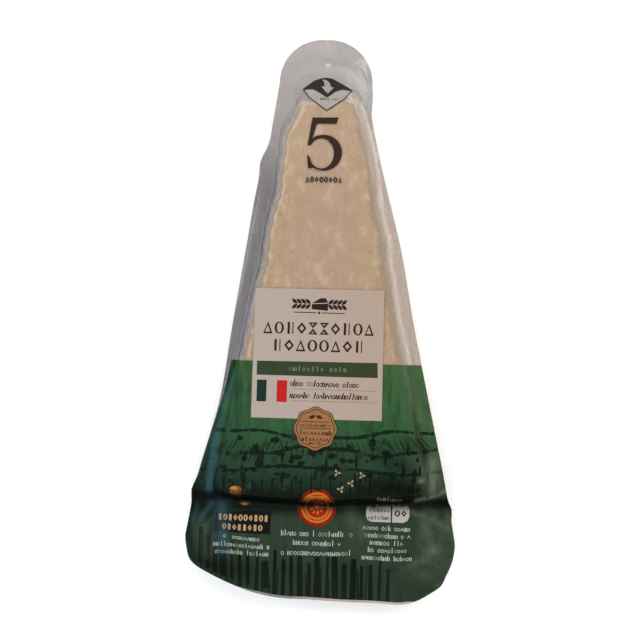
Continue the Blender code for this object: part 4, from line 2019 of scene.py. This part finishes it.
class Ornament(Enum):
    """Figures of the large rows."""

    PEAK = "peak"
    TWIN = "twin"
    RING = "ring"
    LOZENGE = "lozenge"
    HOURGLASS = "hourglass"

    def rims(self, u: float, v: float, width: float, height: float, thick: float,
             thin: float) -> list[Rims]:
        """Outlines of the figure on its base (u, v), with thick and thin strokes.

        Args:
            u: Middle of the base.
            v: Level of the base.
            width: Width of the figure.
            height: Height of the figure.
            thick: Width of a thick stroke.
            thin: Width of a thin stroke.

        Returns:
            One rim and its hole for each part.
        """
        base, half = np.array((u, v)), 0.5 * width
        if self is Ornament.TWIN:
            reach = 0.62 * half
            return [[box_outline(u - reach, u - reach + thick, v, v + height)],
                    [box_outline(u + reach - thin, u + reach, v, v + height)]]
        if self in (Ornament.PEAK, Ornament.HOURGLASS):
            tall = height if self is Ornament.PEAK else 0.49 * height
            outer = np.array(((-half, 0), (half, 0), (0, tall)))
            centre = outer.mean(axis=0) + np.array((-0.25 * thin, 0.0))
            inner = centre + (outer - outer.mean(axis=0)) * (1.0 - 3.1 * thick / (half + tall))
            upright = [outer + base, inner + base]
            if self is Ornament.PEAK:
                return [upright]
            flip, top = np.array((1.0, -1.0)), np.array((u, v + height))
            return [upright, [((rim - base) * flip + top)[::-1] for rim in upright]]
        centre = np.array((u, v + 0.5 * height))
        count, rim = (30, thin) if self is Ornament.RING else (4, 1.3 * thick)
        unit = round_outline(tuple(centre), 1.0, count) - centre
        hole = np.array((half - thick, 0.5 * height - rim))
        return [[unit * np.array((half, 0.5 * height)) + centre, unit * hole + centre]]


PEAK, TWIN, RING, LOZENGE, HOURGLASS = Ornament


def ornament_row(figures: tuple[Ornament, ...], start: Place, end: Place, height: float,
                 thick: float, thin: float, mirrored: bool = True) -> list[Rims]:
    """Outlines of a row of figures on a base line.

    Args:
        figures: The figures, or the first half of them where the row is mirrored.
        start: Left end of the base line.
        end: Right end of the base line.
        height: Height of the figures.
        thick: Width of the thick strokes.
        thin: Width of the thin strokes.
        mirrored: Whether the figures follow once more in the other order.

    Returns:
        One rim and its holes for each part of a figure.
    """
    if mirrored:
        figures += figures[::-1]
    pitch = (end[0] - start[0]) / len(figures)
    rise = (end[1] - start[1]) / len(figures)
    rims = []
    for index, figure in enumerate(figures):
        u, v = start[0] + pitch * (index + 0.5), start[1] + rise * (index + 0.5)
        rims += figure.rims(u, v, 0.84 * pitch, height, thick, thin)
    return rims


@dataclass(frozen=True)
class Ridge:
    """Line of a ridge across the field: a long swell with a shorter one on it."""

    name: str
    base: float
    rise: float
    waves: float
    phase: float
    dim: float

    def top(self, share: float) -> float:
        """The ridge's y at a share of the field's width."""
        turn = 2.0 * math.pi * (self.waves * share + self.phase)
        return self.base + self.rise * math.sin(turn) + 0.3 * self.rise * math.sin(2.7 * turn + 1.0)


@dataclass
class GreenField:
    """The printed field over the wide half of the pack: ridges, hedges, bushes and reeds."""

    press: Press
    top_left: float = -15.35
    top_right: float = -16.4
    crease_y: float = -67.5
    ridges: tuple = (
        Ridge("far", -43.6, 1.5, 1.3, 0.10, 0.96), Ridge("middle", -50.0, 1.6, 1.7, 0.45, 0.97),
        Ridge("near", -57.5, 1.2, 1.1, 0.80, 0.92))
    least_margin: float = 0.15
    ridge_steps: int = 90
    side_steps: int = 14
    hedge_drop: float = 0.5
    furrows: int = 44
    bushes: int = 120
    seed: int = 29

    @functools.cached_property
    def edge(self) -> np.ndarray:
        """The line round the pack up to which the field is printed.

        Returns:
            The closed line.
        """
        flange = self.press.form.flange()
        ways = outward(flange)
        upper_left = (ways[:, 0] < -0.5) * smooth_step((flange[:, 1] + 45.0) / 30.0)
        margin = 0.14 + 1.45 * upper_left + 0.85 * smooth_step((-ways[:, 1] - 0.93) / 0.05)
        return flange - ways * margin[:, None]

    def span(self, y: float) -> tuple[float, float]:
        """Left and right end of the field at a level of y.

        Args:
            y: The level.

        Returns:
            The two ends' x.
        """
        edge = self.edge
        nxt = np.roll(edge, -1, axis=0)
        crosses = (edge[:, 1] - y) * (nxt[:, 1] - y) <= 0.0
        share = (y - edge[crosses, 1]) / (nxt[crosses, 1] - edge[crosses, 1] + TINY)
        xs = edge[crosses, 0] + (nxt[crosses, 0] - edge[crosses, 0]) * share
        return xs.min(), xs.max()

    def outline(self) -> np.ndarray:
        """The field: the edge below a slightly tilted line.

        Returns:
            The outline.
        """
        left, right = self.span(self.top_left)[0], self.span(self.top_right)[1]
        slope = (self.top_right - self.top_left) / (right - left)
        below = self.edge[:, 1] < self.top_left + (self.edge[:, 0] - left) * slope - 0.05
        first = int(np.nonzero(below & ~np.roll(below, 1))[0][0])
        ordered = np.roll(self.edge, -first, axis=0)[: int(below.sum())]
        return np.concatenate((ordered, [(right, self.top_right), (left, self.top_left)]))

    def ridge_line(self, ridge_top: Callable[[float], float], drop: float = 0.0) -> np.ndarray:
        """Points across the pack on a ridge's line, or a drop below it.

        Args:
            ridge_top: Gives the line's y at a share of the width.
            drop: How far below it the points lie.

        Returns:
            The points.
        """
        line = []
        for share in np.linspace(0.0, 1.0, self.ridge_steps):
            y = ridge_top(share) - drop
            left, right = self.span(y)
            line.append((left + (right - left) * share, y))
        return np.array(line)

    def ridge_outline(self, top: Callable[[float], float]) -> np.ndarray:
        """A band across the pack from a ridge's line down to the crease.

        Args:
            top: Gives the line's y at a share of the width.

        Returns:
            The outline.
        """
        bottom, count = self.crease_y, self.side_steps
        right_edge = [(self.span(y)[1], y) for y in np.linspace(top(1.0), bottom, count)[1:]]
        left_edge = [(self.span(y)[0], y) for y in np.linspace(bottom, top(0.0), count)[:-1]]
        return np.concatenate((self.ridge_line(top), right_edge, left_edge))[::-1]

    def inside(self, outlines: Iterable[Rims]) -> list[Rims]:
        """Those of the outlines that lie wholly inside the field."""
        return [rims for rims in outlines
                if (signed_distance(rims[0], self.edge) < -self.least_margin).all()]

    def plant_hedges(self) -> None:
        """Rows of bushes along the ridges and furrows down their slopes."""
        for order, ridge_form in enumerate(self.ridges):
            self.press.pattern(
                "hedge_" + ridge_form.name, dots_tree(),
                [self.ridge_line(ridge_form.top, self.hedge_drop)],
                (24 - 3 * order, 42 - 5 * order, 29, 0.4), Layer(order + 2), clip=self.edge,
                pitch=1.15, radius=0.42, spread=1.5, seed=4.0 + order)
        furrows = []
        for index in range(self.furrows):
            u = -45.0 + 2.1 * index
            v = -46.5 - 4.0 * noise.noise((index * 0.71, 0.4, 0.0))
            long = 4.5 + 4.0 * abs(noise.noise((index * 1.3, 7.7, 0.0)))
            line = ((u, v), (u * 1.05 + 0.3, v - 0.5 * long), (u * 1.12 + 0.4, v - long))
            furrows.append([line_outline(line, 0.35 + 0.3 * (index % 3 == 0))])
        self.press.shapes("furrows", self.inside(furrows), (27, 44, 31, 0.4), Layer.GROUND)

    def plant_bushes(self) -> None:
        """Dark clumps with duller and paler blots, and a few slender bushes."""
        dark, pale, slim = [], [], []
        chance = np.random.default_rng(self.seed)
        for index in range(self.bushes):
            place = (chance.uniform(-43.0, 43.0), -45.0 - 21.0 * chance.uniform() ** 0.8)
            radius = chance.uniform(0.6, 2.0)
            group = (dark, dark, pale, slim)[index % 4]
            if group is slim:
                group.append([leaf_outline(place, chance.uniform(4.0, 9.0), 1.1, 0.5 * math.pi)])
            else:
                group.append([clump_outline(place, radius, chance.uniform(0.5, 1.1))])
        for name, rims, ink, layer in (
                ("bushes", dark, (21, 33, 24, 0.4), Layer.GROUND),
                ("bush_lights", pale, (42, 62, 44, 0.6), Layer.MARKS),
                ("slender_bushes", slim, (18, 30, 21, 0.3), Layer.MARKS)):
            self.press.shapes(name, self.inside(rims), ink, layer)

    def plant_reeds(self) -> None:
        """Posts above the crease, blunt reeds along the tail, and faint stripes to their right."""
        x_edge, y_edge = self.edge.T
        base = [(x, self.edge[np.argmin(np.abs(x_edge - x) + (y_edge > -80.0) * 1e3)][1] + 0.2)
                for x in np.linspace(-47.0, 27.0, 36)]
        posts = [(x, -69.0) for x in np.linspace(-46.0, 46.0, 30)]
        names = ("pitch", "thin", "thick", "short", "tall", "lean", "taper", "seed")
        for name, row, ink, layer, sizes in (
                ("reeds_dark", base, (13, 22, 14, 0.4), Layer.FAR_RIDGE,
                 (3.4, 1, 2.6, 12.5, 17.5, 0.025, 0.18, 5)),
                ("reeds_thin", base, (18, 30, 20, 0.4), Layer.MIDDLE_RIDGE,
                 (2.9, 0.4, 1.1, 7, 16.5, 0.05, 0.3, 21)),
                ("posts", posts, (17, 26, 19, 0.4), Layer.MARKS,
                 (3.7, 0.35, 0.95, 5, 10.5, 0.03, 0.2, 13))):
            self.press.pattern(name, reeds_tree(), [row], ink, layer, clip=self.edge,
                               **dict(zip(names, sizes)))
        stripes = [[line_outline(((x, -108.0 + 0.18 * x), (x + 4.0, -100.0 + 0.12 * x)), 0.55)]
                   for x in (24.0, 27.5, 30.5, 34.0, 38.0, 41.5)]
        self.press.shapes("tail_stripes", self.inside(stripes), (36, 52, 38, 0.4),
                          Layer.FAR_RIDGE)

    def build(self) -> None:
        """Print the field and what grows on it."""
        self.press.shapes("green_field", [[self.outline()]], FieldFinish("field_green"),
                          Layer.FIELD)
        for order, ridge_form in enumerate(self.ridges):
            name = "ridge_" + ridge_form.name
            self.press.shapes(name, [[self.ridge_outline(ridge_form.top)]],
                              FieldFinish(name + "_green", ridge_form.dim, 0.9), Layer(order + 1))
        self.plant_hedges()
        self.plant_bushes()
        self.plant_reeds()


@dataclass
class LabelPanel:
    """The pale panel with its ornaments, dark band, stripes and small print."""

    press: Press
    corners: tuple = ((-27.3, -38.1), (24, -38), (23.5, 13.2), (-27.1, 12.7))
    band: tuple = ((-25.6, -21.3), (21.9, -21.2), (21.7, -15.3), (-25.6, -15.8))
    white: InkFinish = InkFinish("label_white", tone(190, 175, 165), 0.03, tone(190, 168, 152))
    band_green: InkFinish = InkFinish("band_green", tone(58, 71, 52), 0.12, tone(62, 70, 44))
    ink: InkFinish = InkFinish("label_ink", tone(50, 37, 31))

    def emblem(self) -> list[Rims]:
        """A bold wedge between two leafed sprigs over a thin rule.

        Returns:
            Its outlines.
        """
        shapes = [[((-4.8, 5), (1.6, 4.6), (1.6, 7.4), (-4.8, 7))],
                  [((-4.8, 7.35), (1.6, 7.75), (0.6, 9.5), (-1.5, 9.4))],
                  [box_outline(-11.8, -2.9, 3.5, 3.85)], [box_outline(-0.7, 8.2, 3.5, 3.85)],
                  [round_outline((-1.8, 3.68), 0.6, 4)]]
        shapes += [[leaf_outline((-1.8 + side * (4.5 + 1.75 * index), 7.0 + 1.0 * lift), 2.9, 1.35,
                                 lift * side * 0.75)]
                   for side in (-1.0, 1.0) for index in range(4) for lift in (-1.0, 1.0)]
        return shapes

    def titles(self) -> list[Rims]:
        """Two large rows of figures, each the same from either end.

        Returns:
            Their outlines.
        """
        return (ornament_row((PEAK, RING, TWIN, LOZENGE, HOURGLASS), (-23.9, -5.0), (20.2, -4.7),
                             4.7, 0.92, 0.42)
                + ornament_row((TWIN, LOZENGE, PEAK, RING), (-20.1, -11.7), (16.5, -11.5),
                               4.6, 0.92, 0.42))

    def build(self) -> None:
        """Print the panel and everything on it."""
        press, marks = self.press, Layer.PANEL_MARKS
        press.shapes("label_panel", [[self.corners]], self.white, Layer.PANEL)
        press.shapes("label_emblem", self.emblem(), self.ink, marks, 0.6)
        press.shapes("title_rows", self.titles(), self.ink, marks, 0.9)
        press.shapes("label_band", [[self.band]], self.band_green, marks)
        press.marks("label_band_marks", [(-12.5, -19.4, 8.9, -19.3)], (132, 138, 116),
                    Layer.BADGE, 2.1, 1.75, 0.36, 4.0, 0.06)
        for name, left, right, ink in (("stripe_green", -25.35, -21.55, (27, 58, 44)),
                                       ("stripe_red", -17.5, -13.5, (200, 38, 36))):
            press.shapes(name, [[box_outline(left, right, -31.7, -23.2)]], ink, marks)
        press.marks("label_small_print",
                    [(-12.0, -25.4, 13.8, -25.4), (-11.6, -30.1, 17.4, -30.0)],
                    self.ink, marks, 2.5, 1.26, 0.50, 3.0, 0.14, -0.2)
        rules = [((-11.5, -26.45), (21.1, -26.45)), ((-11.4, -31), (21.6, -31))]
        press.pattern("label_rules", dots_tree(), rules, self.ink, marks,
                      pitch=0.8, radius=0.17, spread=0.0, seed=1.0)


@dataclass
class Badge:
    """The tan badge with eight soft corners below the panel."""

    press: Press
    centre: Place = (-1.9, -41.8)
    radius: float = 8.45
    steps: int = 96
    brown: InkFinish = InkFinish("badge_brown", tone(62, 40, 26))

    def outline(self, grow: float) -> np.ndarray:
        """The badge's shape, grown: a circle with eight soft corners, one of them at the top.

        Args:
            grow: How much larger than the badge.

        Returns:
            The outline.
        """
        angles = np.linspace(0.0, 2.0 * math.pi, self.steps, endpoint=False)
        size = (self.radius + grow) * (0.962 + 0.038 * np.cos(8.0 * angles))
        return np.stack((self.centre[0] + size * np.cos(angles),
                         self.centre[1] + size * np.sin(angles)), 1)

    def build(self) -> None:
        """Print the badge, its inner line and its rows."""
        u, v = self.centre
        press, marks = self.press, Layer.BADGE_MARKS
        press.shapes("badge_rim", [[self.outline(0.3)]], (56, 46, 30), Layer.PANEL_MARKS)
        press.shapes("badge", [[self.outline(0.0)]], (166, 117, 78, 0.12), Layer.BADGE)
        lines = [[self.outline(-0.75), self.outline(-1.05)],
                 [box_outline(u - 5.4, u + 5.4, v + 2.6, v + 2.85)],
                 [box_outline(u - 6.2, u + 6.2, v + 0.0, v + 0.25)]]
        lines += [[leaf_outline((u + side * 1.4, v + 4.6), 2.9, 1.3, side * -0.4)]
                  for side in (-1, 1)]
        press.shapes("badge_lines", lines, self.brown, marks, 0.9)
        press.marks("badge_small_marks", [(u - 5.6, v + 0.8, u + 5.7, v + 0.8),
                                          (u - 2.6, v - 6.2, u + 2.7, v - 6.2)],
                    self.brown, marks, 1.2, 0.8, 0.24, 8.0)
        press.marks("badge_large_marks", [(u - 5.6, v - 2.5, u + 5.8, v - 2.5),
                                          (u - 4.8, v - 5.0, u + 4.9, v - 5.0)],
                    self.brown, marks, 1.9, 1.35, 0.42, 15.0, 0.0)


@dataclass
class TailPrint:
    """What is printed on the tail: plate, ovals, rosette, two-part pill, rows and flecks."""

    press: Press
    pale: InkFinish = InkFinish("tail_pale", tone(196, 200, 188))
    red: InkFinish = InkFinish("rosette_red", tone(150, 32, 16), 0.15)
    pill_ink: InkFinish = InkFinish("pill_ink", tone(44, 44, 40))
    quad: tuple = ((-40.4, -83.8), (-18.5, -84.3), (-18.2, -74.8), (-40.1, -75.9))
    rosette_centre: Place = (-0.3, -73.0)
    pill_left: tuple = (
        (21.4, -78.1), (19.9, -77.4), (19.2, -75.8), (19.1, -73.4), (19.6, -72), (21.2, -71.2),
        (28.9, -70.8), (28.9, -78.1))
    pill_right: tuple = (
        (29.5, -78.1), (34, -78.1), (35.6, -77.3), (36.3, -75.6), (36.3, -73), (35.6, -71.4),
        (34, -70.6), (29.5, -70.8))
    flecks: tuple = ((7.2, -58.9), (12.8, -62.8), (16.9, -59.6), (8.8, -65.3))

    def plate(self) -> None:
        """A dark plate with two bold rows in pale gold, and two amber ovals above it."""
        press = self.press
        press.shapes("plate", [[self.quad]], (22, 22, 22, 0.2), Layer.FAR_RIDGE)
        rims = ornament_row((TWIN, RING, TWIN, LOZENGE, RING), (-39.4, -79.2), (-19.2, -79.4),
                            2.5, 0.60, 0.45)
        rims += ornament_row((RING, TWIN, LOZENGE, TWIN), (-37.8, -83.0), (-21.4, -83.1),
                             2.4, 0.60, 0.45)
        press.shapes("plate_rows", rims, (192, 160, 116, 0.1), Layer.MIDDLE_RIDGE)
        for name, ovals, ink, layer in (
                ("amber_ovals", (((-32, -67.2), 3.3, 30, 0.74), ((-28.6, -71.7), 2.6, 24, 0.66)),
                 (84, 52, 30, 0.6), Layer.MARKS),
                ("amber_lights", (((-32.5, -66.8), 2.5, 26, 0.66), ((-28.8, -72), 1.9, 22, 0.52)),
                 (146, 92, 46, 0.5), Layer.PANEL),
                ("amber_glints", (((-33.1, -66.1), 1.3, 20, 0.60), ((-28.9, -72.5), 1.4, 20, 0.32)),
                 (200, 150, 92, 0.4), Layer.PANEL_MARKS)):
            press.shapes(name, [[round_outline(*oval)] for oval in ovals], ink, layer)

    def rosette(self) -> None:
        """A rosette with a toothed red edge, an orange ring and a red middle with a flower."""
        press, (u, v) = self.press, self.rosette_centre
        press.pattern("rosette_edge", scallops_tree(), [], self.red, Layer.GROUND,
                      self.rosette_centre, count=34, circle=7.0, radius=0.72)
        for name, radius, ink, layer in (
                ("rosette_disc", 6.9, (150, 32, 16, 0.15), Layer.MARKS),
                ("rosette_ring", 6.3, (214, 120, 44, 0.15), Layer.PANEL),
                ("rosette_middle", 4.1, (176, 38, 22, 0.15), Layer.PANEL_MARKS)):
            press.shapes(name, [[round_outline((u, v), radius, 60)]], ink, layer)
        petals = [[round_outline((u, v), 0.8, 14)]]
        for index in range(9):
            angle = 2.0 * math.pi * index / 9.0
            place = (u + 2.2 * math.cos(angle), v + 2.2 * math.sin(angle))
            petals.append([leaf_outline(place, 2.0, 0.9, angle)])
        press.shapes("rosette_flower", petals, (226, 130, 52, 0.1), Layer.BADGE, 0.6)
        beads = round_outline((u, v), 5.2, 31)
        press.pattern("rosette_beads", dots_tree(), [[*beads, beads[0]]], self.red,
                      Layer.PANEL_MARKS, pitch=0.95, radius=0.3, spread=0.3, seed=2.0)

    def pill(self) -> None:
        """A pale two-part pill with dark marks."""
        press, marks = self.press, Layer.MIDDLE_RIDGE
        press.shapes("pill", [[self.pill_left], [self.pill_right]], (190, 186, 178, 0.08),
                     Layer.FAR_RIDGE)
        press.marks("pill_marks", [(21.0, -74.2, 28.0, -74.2), (20.4, -77.2, 28.0, -77.2)],
                    self.pill_ink, marks, 1.9, 1.25, 0.36, 7.0, 0.0)
        row = ornament_row((RING, LOZENGE), (30.2, -75.8), (35.4, -75.8), 2.6, 0.62, 0.45, False)
        press.shapes("pill_large_marks", row, self.pill_ink, marks, 0.7)

    def small_print(self) -> None:
        """Three groups of small rows and the golden flecks."""
        for name, height, seed, rows in (
                ("print_left", 2, 31,
                 ((-36.6, -86.4, -23.1, -87.2), (-40.1, -89.7, -19.1, -90.2),
                  (-39.6, -92.7, -19.6, -93))),
                ("print_centre", 2.3, 37,
                 ((-13.7, -84.7, 13.5, -84.5), (-8.9, -88.3, 8.9, -88.2),
                  (-14.7, -92.5, 14.4, -92))),
                ("print_right", 2.1, 41,
                 ((23.7, -69.5, 32.6, -70.2), (18.6, -81.3, 37.1, -81.6),
                  (19.4, -84.3, 36.3, -84.5), (21.5, -87.2, 33.4, -87.2),
                  (20.8, -90.2, 35, -90.1), (18.5, -93.2, 37.3, -93.4)))):
            self.press.marks(name, rows, self.pale, Layer.MARKS, height, 1.22, 0.32, seed, 0.14)
        flecks = []
        for index, (u, v) in enumerate(self.flecks):
            for turn in range(3):
                angle = 2.1 * turn + index
                place = (u + 0.85 * math.cos(angle), v + 0.85 * math.sin(angle))
                flecks.append([leaf_outline(place, 1.5, 0.75, angle)])
        self.press.shapes("golden_leaves", flecks, (190, 164, 118, 0.3), Layer.PANEL, 0.6)

    def build(self) -> None:
        """Print everything on the tail."""
        self.plate()
        self.rosette()
        self.pill()
        self.small_print()


@dataclass
class NosePrint:
    """What is printed at the nose: the sign for peeling, the numeral and a row of marks."""

    press: Press
    ink: InkFinish = InkFinish("nose_ink", tone(58, 44, 36), 0.05)
    cap: tuple = (
        (-1.4, 88.6), (2, 91), (4.4, 91.9), (8.7, 91.4), (6.3, 92.9), (3.5, 94.4), (0.9, 95.9),
        (-0.8, 96.4), (-2.6, 96.3), (-4.6, 95.9), (-6.6, 95), (-9, 93.1), (-11.1, 91.4), (-7, 91.7),
        (-4.2, 90.3))
    arrow: tuple = (
        (-1.3, 89.6), (1.2, 92.4), (0.1, 92.5), (-0.5, 94.2), (-1.7, 95.3), (-3.6, 95.7),
        (-2.7, 94.5), (-2.5, 92.7), (-3.7, 92.6))
    kite: tuple = (
        (-11.1, 91.4), (-8.9, 88.1), (-5.3, 85.7), (-1.4, 82.9), (1.8, 85.1), (5.7, 87.8),
        (8.7, 91.4), (4.4, 91.9), (2, 91), (-1.4, 88.6), (-4.2, 90.3), (-7, 91.7))
    inner: tuple = (
        (-10.3, 91.1), (-8.5, 88.3), (-5.1, 86), (-1.4, 83.4), (1.7, 85.5), (5.4, 88.1),
        (7.9, 91.1), (4.4, 91.5), (2.1, 90.6), (-1.4, 88.1), (-4.4, 89.9), (-7, 91.3))
    numeral_corner: Place = (-9.2, 59.4)

    def peel_sign(self) -> None:
        """A dark cap with a pale arrow over a thin kite."""
        for name, rims, ink, layer in (
                ("peel_cap", [self.cap], (52, 44, 42, 0.08), Layer.FIELD),
                ("peel_arrow", [self.arrow], (172, 164, 160), Layer.FAR_RIDGE),
                ("peel_kite", [self.kite, self.inner], (64, 56, 54), Layer.FIELD),
                ("peel_ground", [self.inner], (180, 172, 166), Layer.FIELD)):
            self.press.shapes(name, [rims], ink, layer)
        self.press.marks("peel_marks", [(-5.6, 87.2, 3.0, 87.2)], (84, 74, 70), Layer.FAR_RIDGE,
                         1.2, 0.95, 0.28, 9.0)

    def numeral(self) -> np.ndarray:
        """A figure five: flag, slanting stem and a bowl that swells to the right.

        Returns:
            The outline.
        """
        def arc(centre: Place, half_size: Place, start: float, end: float) -> list[Place]:
            """Points of an ellipse between two angles in degrees."""
            return [(centre[0] + half_size[0] * math.cos(a), centre[1] + half_size[1] * math.sin(a))
                    for a in np.radians(np.linspace(start, end, 40))]

        outline = [(2.4, 20.8), (0.7, 9.9), (1.6, 9.9),
                   *arc((6.3, 6.85), (4.9, 5.95), 146.0, -137.0),
                   (1.5, 5.6), (0.7, 6.2), (1.2, 0.9),
                   *arc((7.1, 7.15), (7.3, 7.05), -121.0, 128.0),
                   (4.2, 18.5), (11.8, 18.6), (12.6, 21.1)]
        return np.array(outline) + np.array(self.numeral_corner)

    def build(self) -> None:
        """Print everything at the nose."""
        self.peel_sign()
        self.press.shapes("numeral", [[self.numeral()]], self.ink, Layer.FIELD, 1.0)
        row = ornament_row((PEAK, RING, LOZENGE, RING), (-9.0, 54.8), (5.6, 55.0), 2.2, 0.50, 0.42)
        self.press.shapes("strength_marks", row, self.ink, Layer.FIELD, 0.7)


# ---- studio ----


@dataclass
class Studio:
    """Pale floor, soft lights and a camera straight above the pack."""

    eye: tuple[float, float, float] = (-0.0014, 0.0009, 0.4686)
    roll: float = math.radians(0.9)
    lens: float = 64.1
    sensor: float = 36.0
    floor_half: float = 1.5
    lamp_size: float = 0.8
    lamps: tuple = (
        ("key", (0.47, 0.56, 0.90), 8.3, (1, 0.985, 0.96)),
        ("fill", (-0.73, 0.04, 0.90), 7.6, (0.90, 0.95, 1)),
        ("front", (0, -0.73, 0.90), 5.7, (1, 0.99, 0.97)),
        ("back", (0, 0.73, 0.90), 4, (1, 0.99, 0.98)))
    world_colour: Colour = (0.95, 0.97, 1.0, 1.0)
    world_strength: float = 0.12

    def floor(self) -> None:
        """The floor under the pack."""
        mesh = bpy.data.meshes.new("floor")
        corners = box_outline(-self.floor_half, self.floor_half, -self.floor_half, self.floor_half)
        mesh.from_pydata([(x, y, 0.0) for x, y in corners], [], [(0, 1, 2, 3)])
        mesh.materials.append(FloorFinish("studio_floor").material())
        linked("floor", mesh)

    def build(self) -> None:
        """Set up floor, world, lights and camera."""
        self.floor()
        for name, place, power, colour in self.lamps:
            lamp = bpy.data.lights.new(name, "AREA")
            lamp.energy, lamp.size, lamp.color = power, self.lamp_size, colour
            holder = linked(name, lamp)
            holder.location = place
            holder.rotation_euler = (-Vector(place)).to_track_quat("-Z", "Y").to_euler()
        world = bpy.data.worlds.new("studio_world")
        world.use_nodes = True
        background = world.node_tree.nodes["Background"]
        background.inputs["Color"].default_value = self.world_colour
        background.inputs["Strength"].default_value = self.world_strength
        lens = bpy.data.cameras.new("camera")
        lens.lens, lens.sensor_width = self.lens, self.sensor
        camera = linked("camera", lens)
        camera.location = self.eye
        camera.rotation_euler = (0.0, 0.0, self.roll)
        scene = bpy.context.scene
        scene.world, scene.camera = world, camera
        scene.view_settings.view_transform = "Standard"


def main() -> None:
    """Build the studio, the cheese, its films and the print, and note the sizes."""
    logging.basicConfig(level=logging.INFO, format="%(name)s %(message)s")
    form = PackForm()
    Studio().build()
    CheeseWedge(form).build()
    lid = LidFilm(form)
    surface = lid.build()
    TrayFilm(form, lid).build()
    GreenField(Press(form, surface, turn=0.0)).build()
    for kind in (LabelPanel, Badge, TailPrint, NosePrint):
        kind(Press(form, surface)).build()


if __name__ == "__main__":
    main()
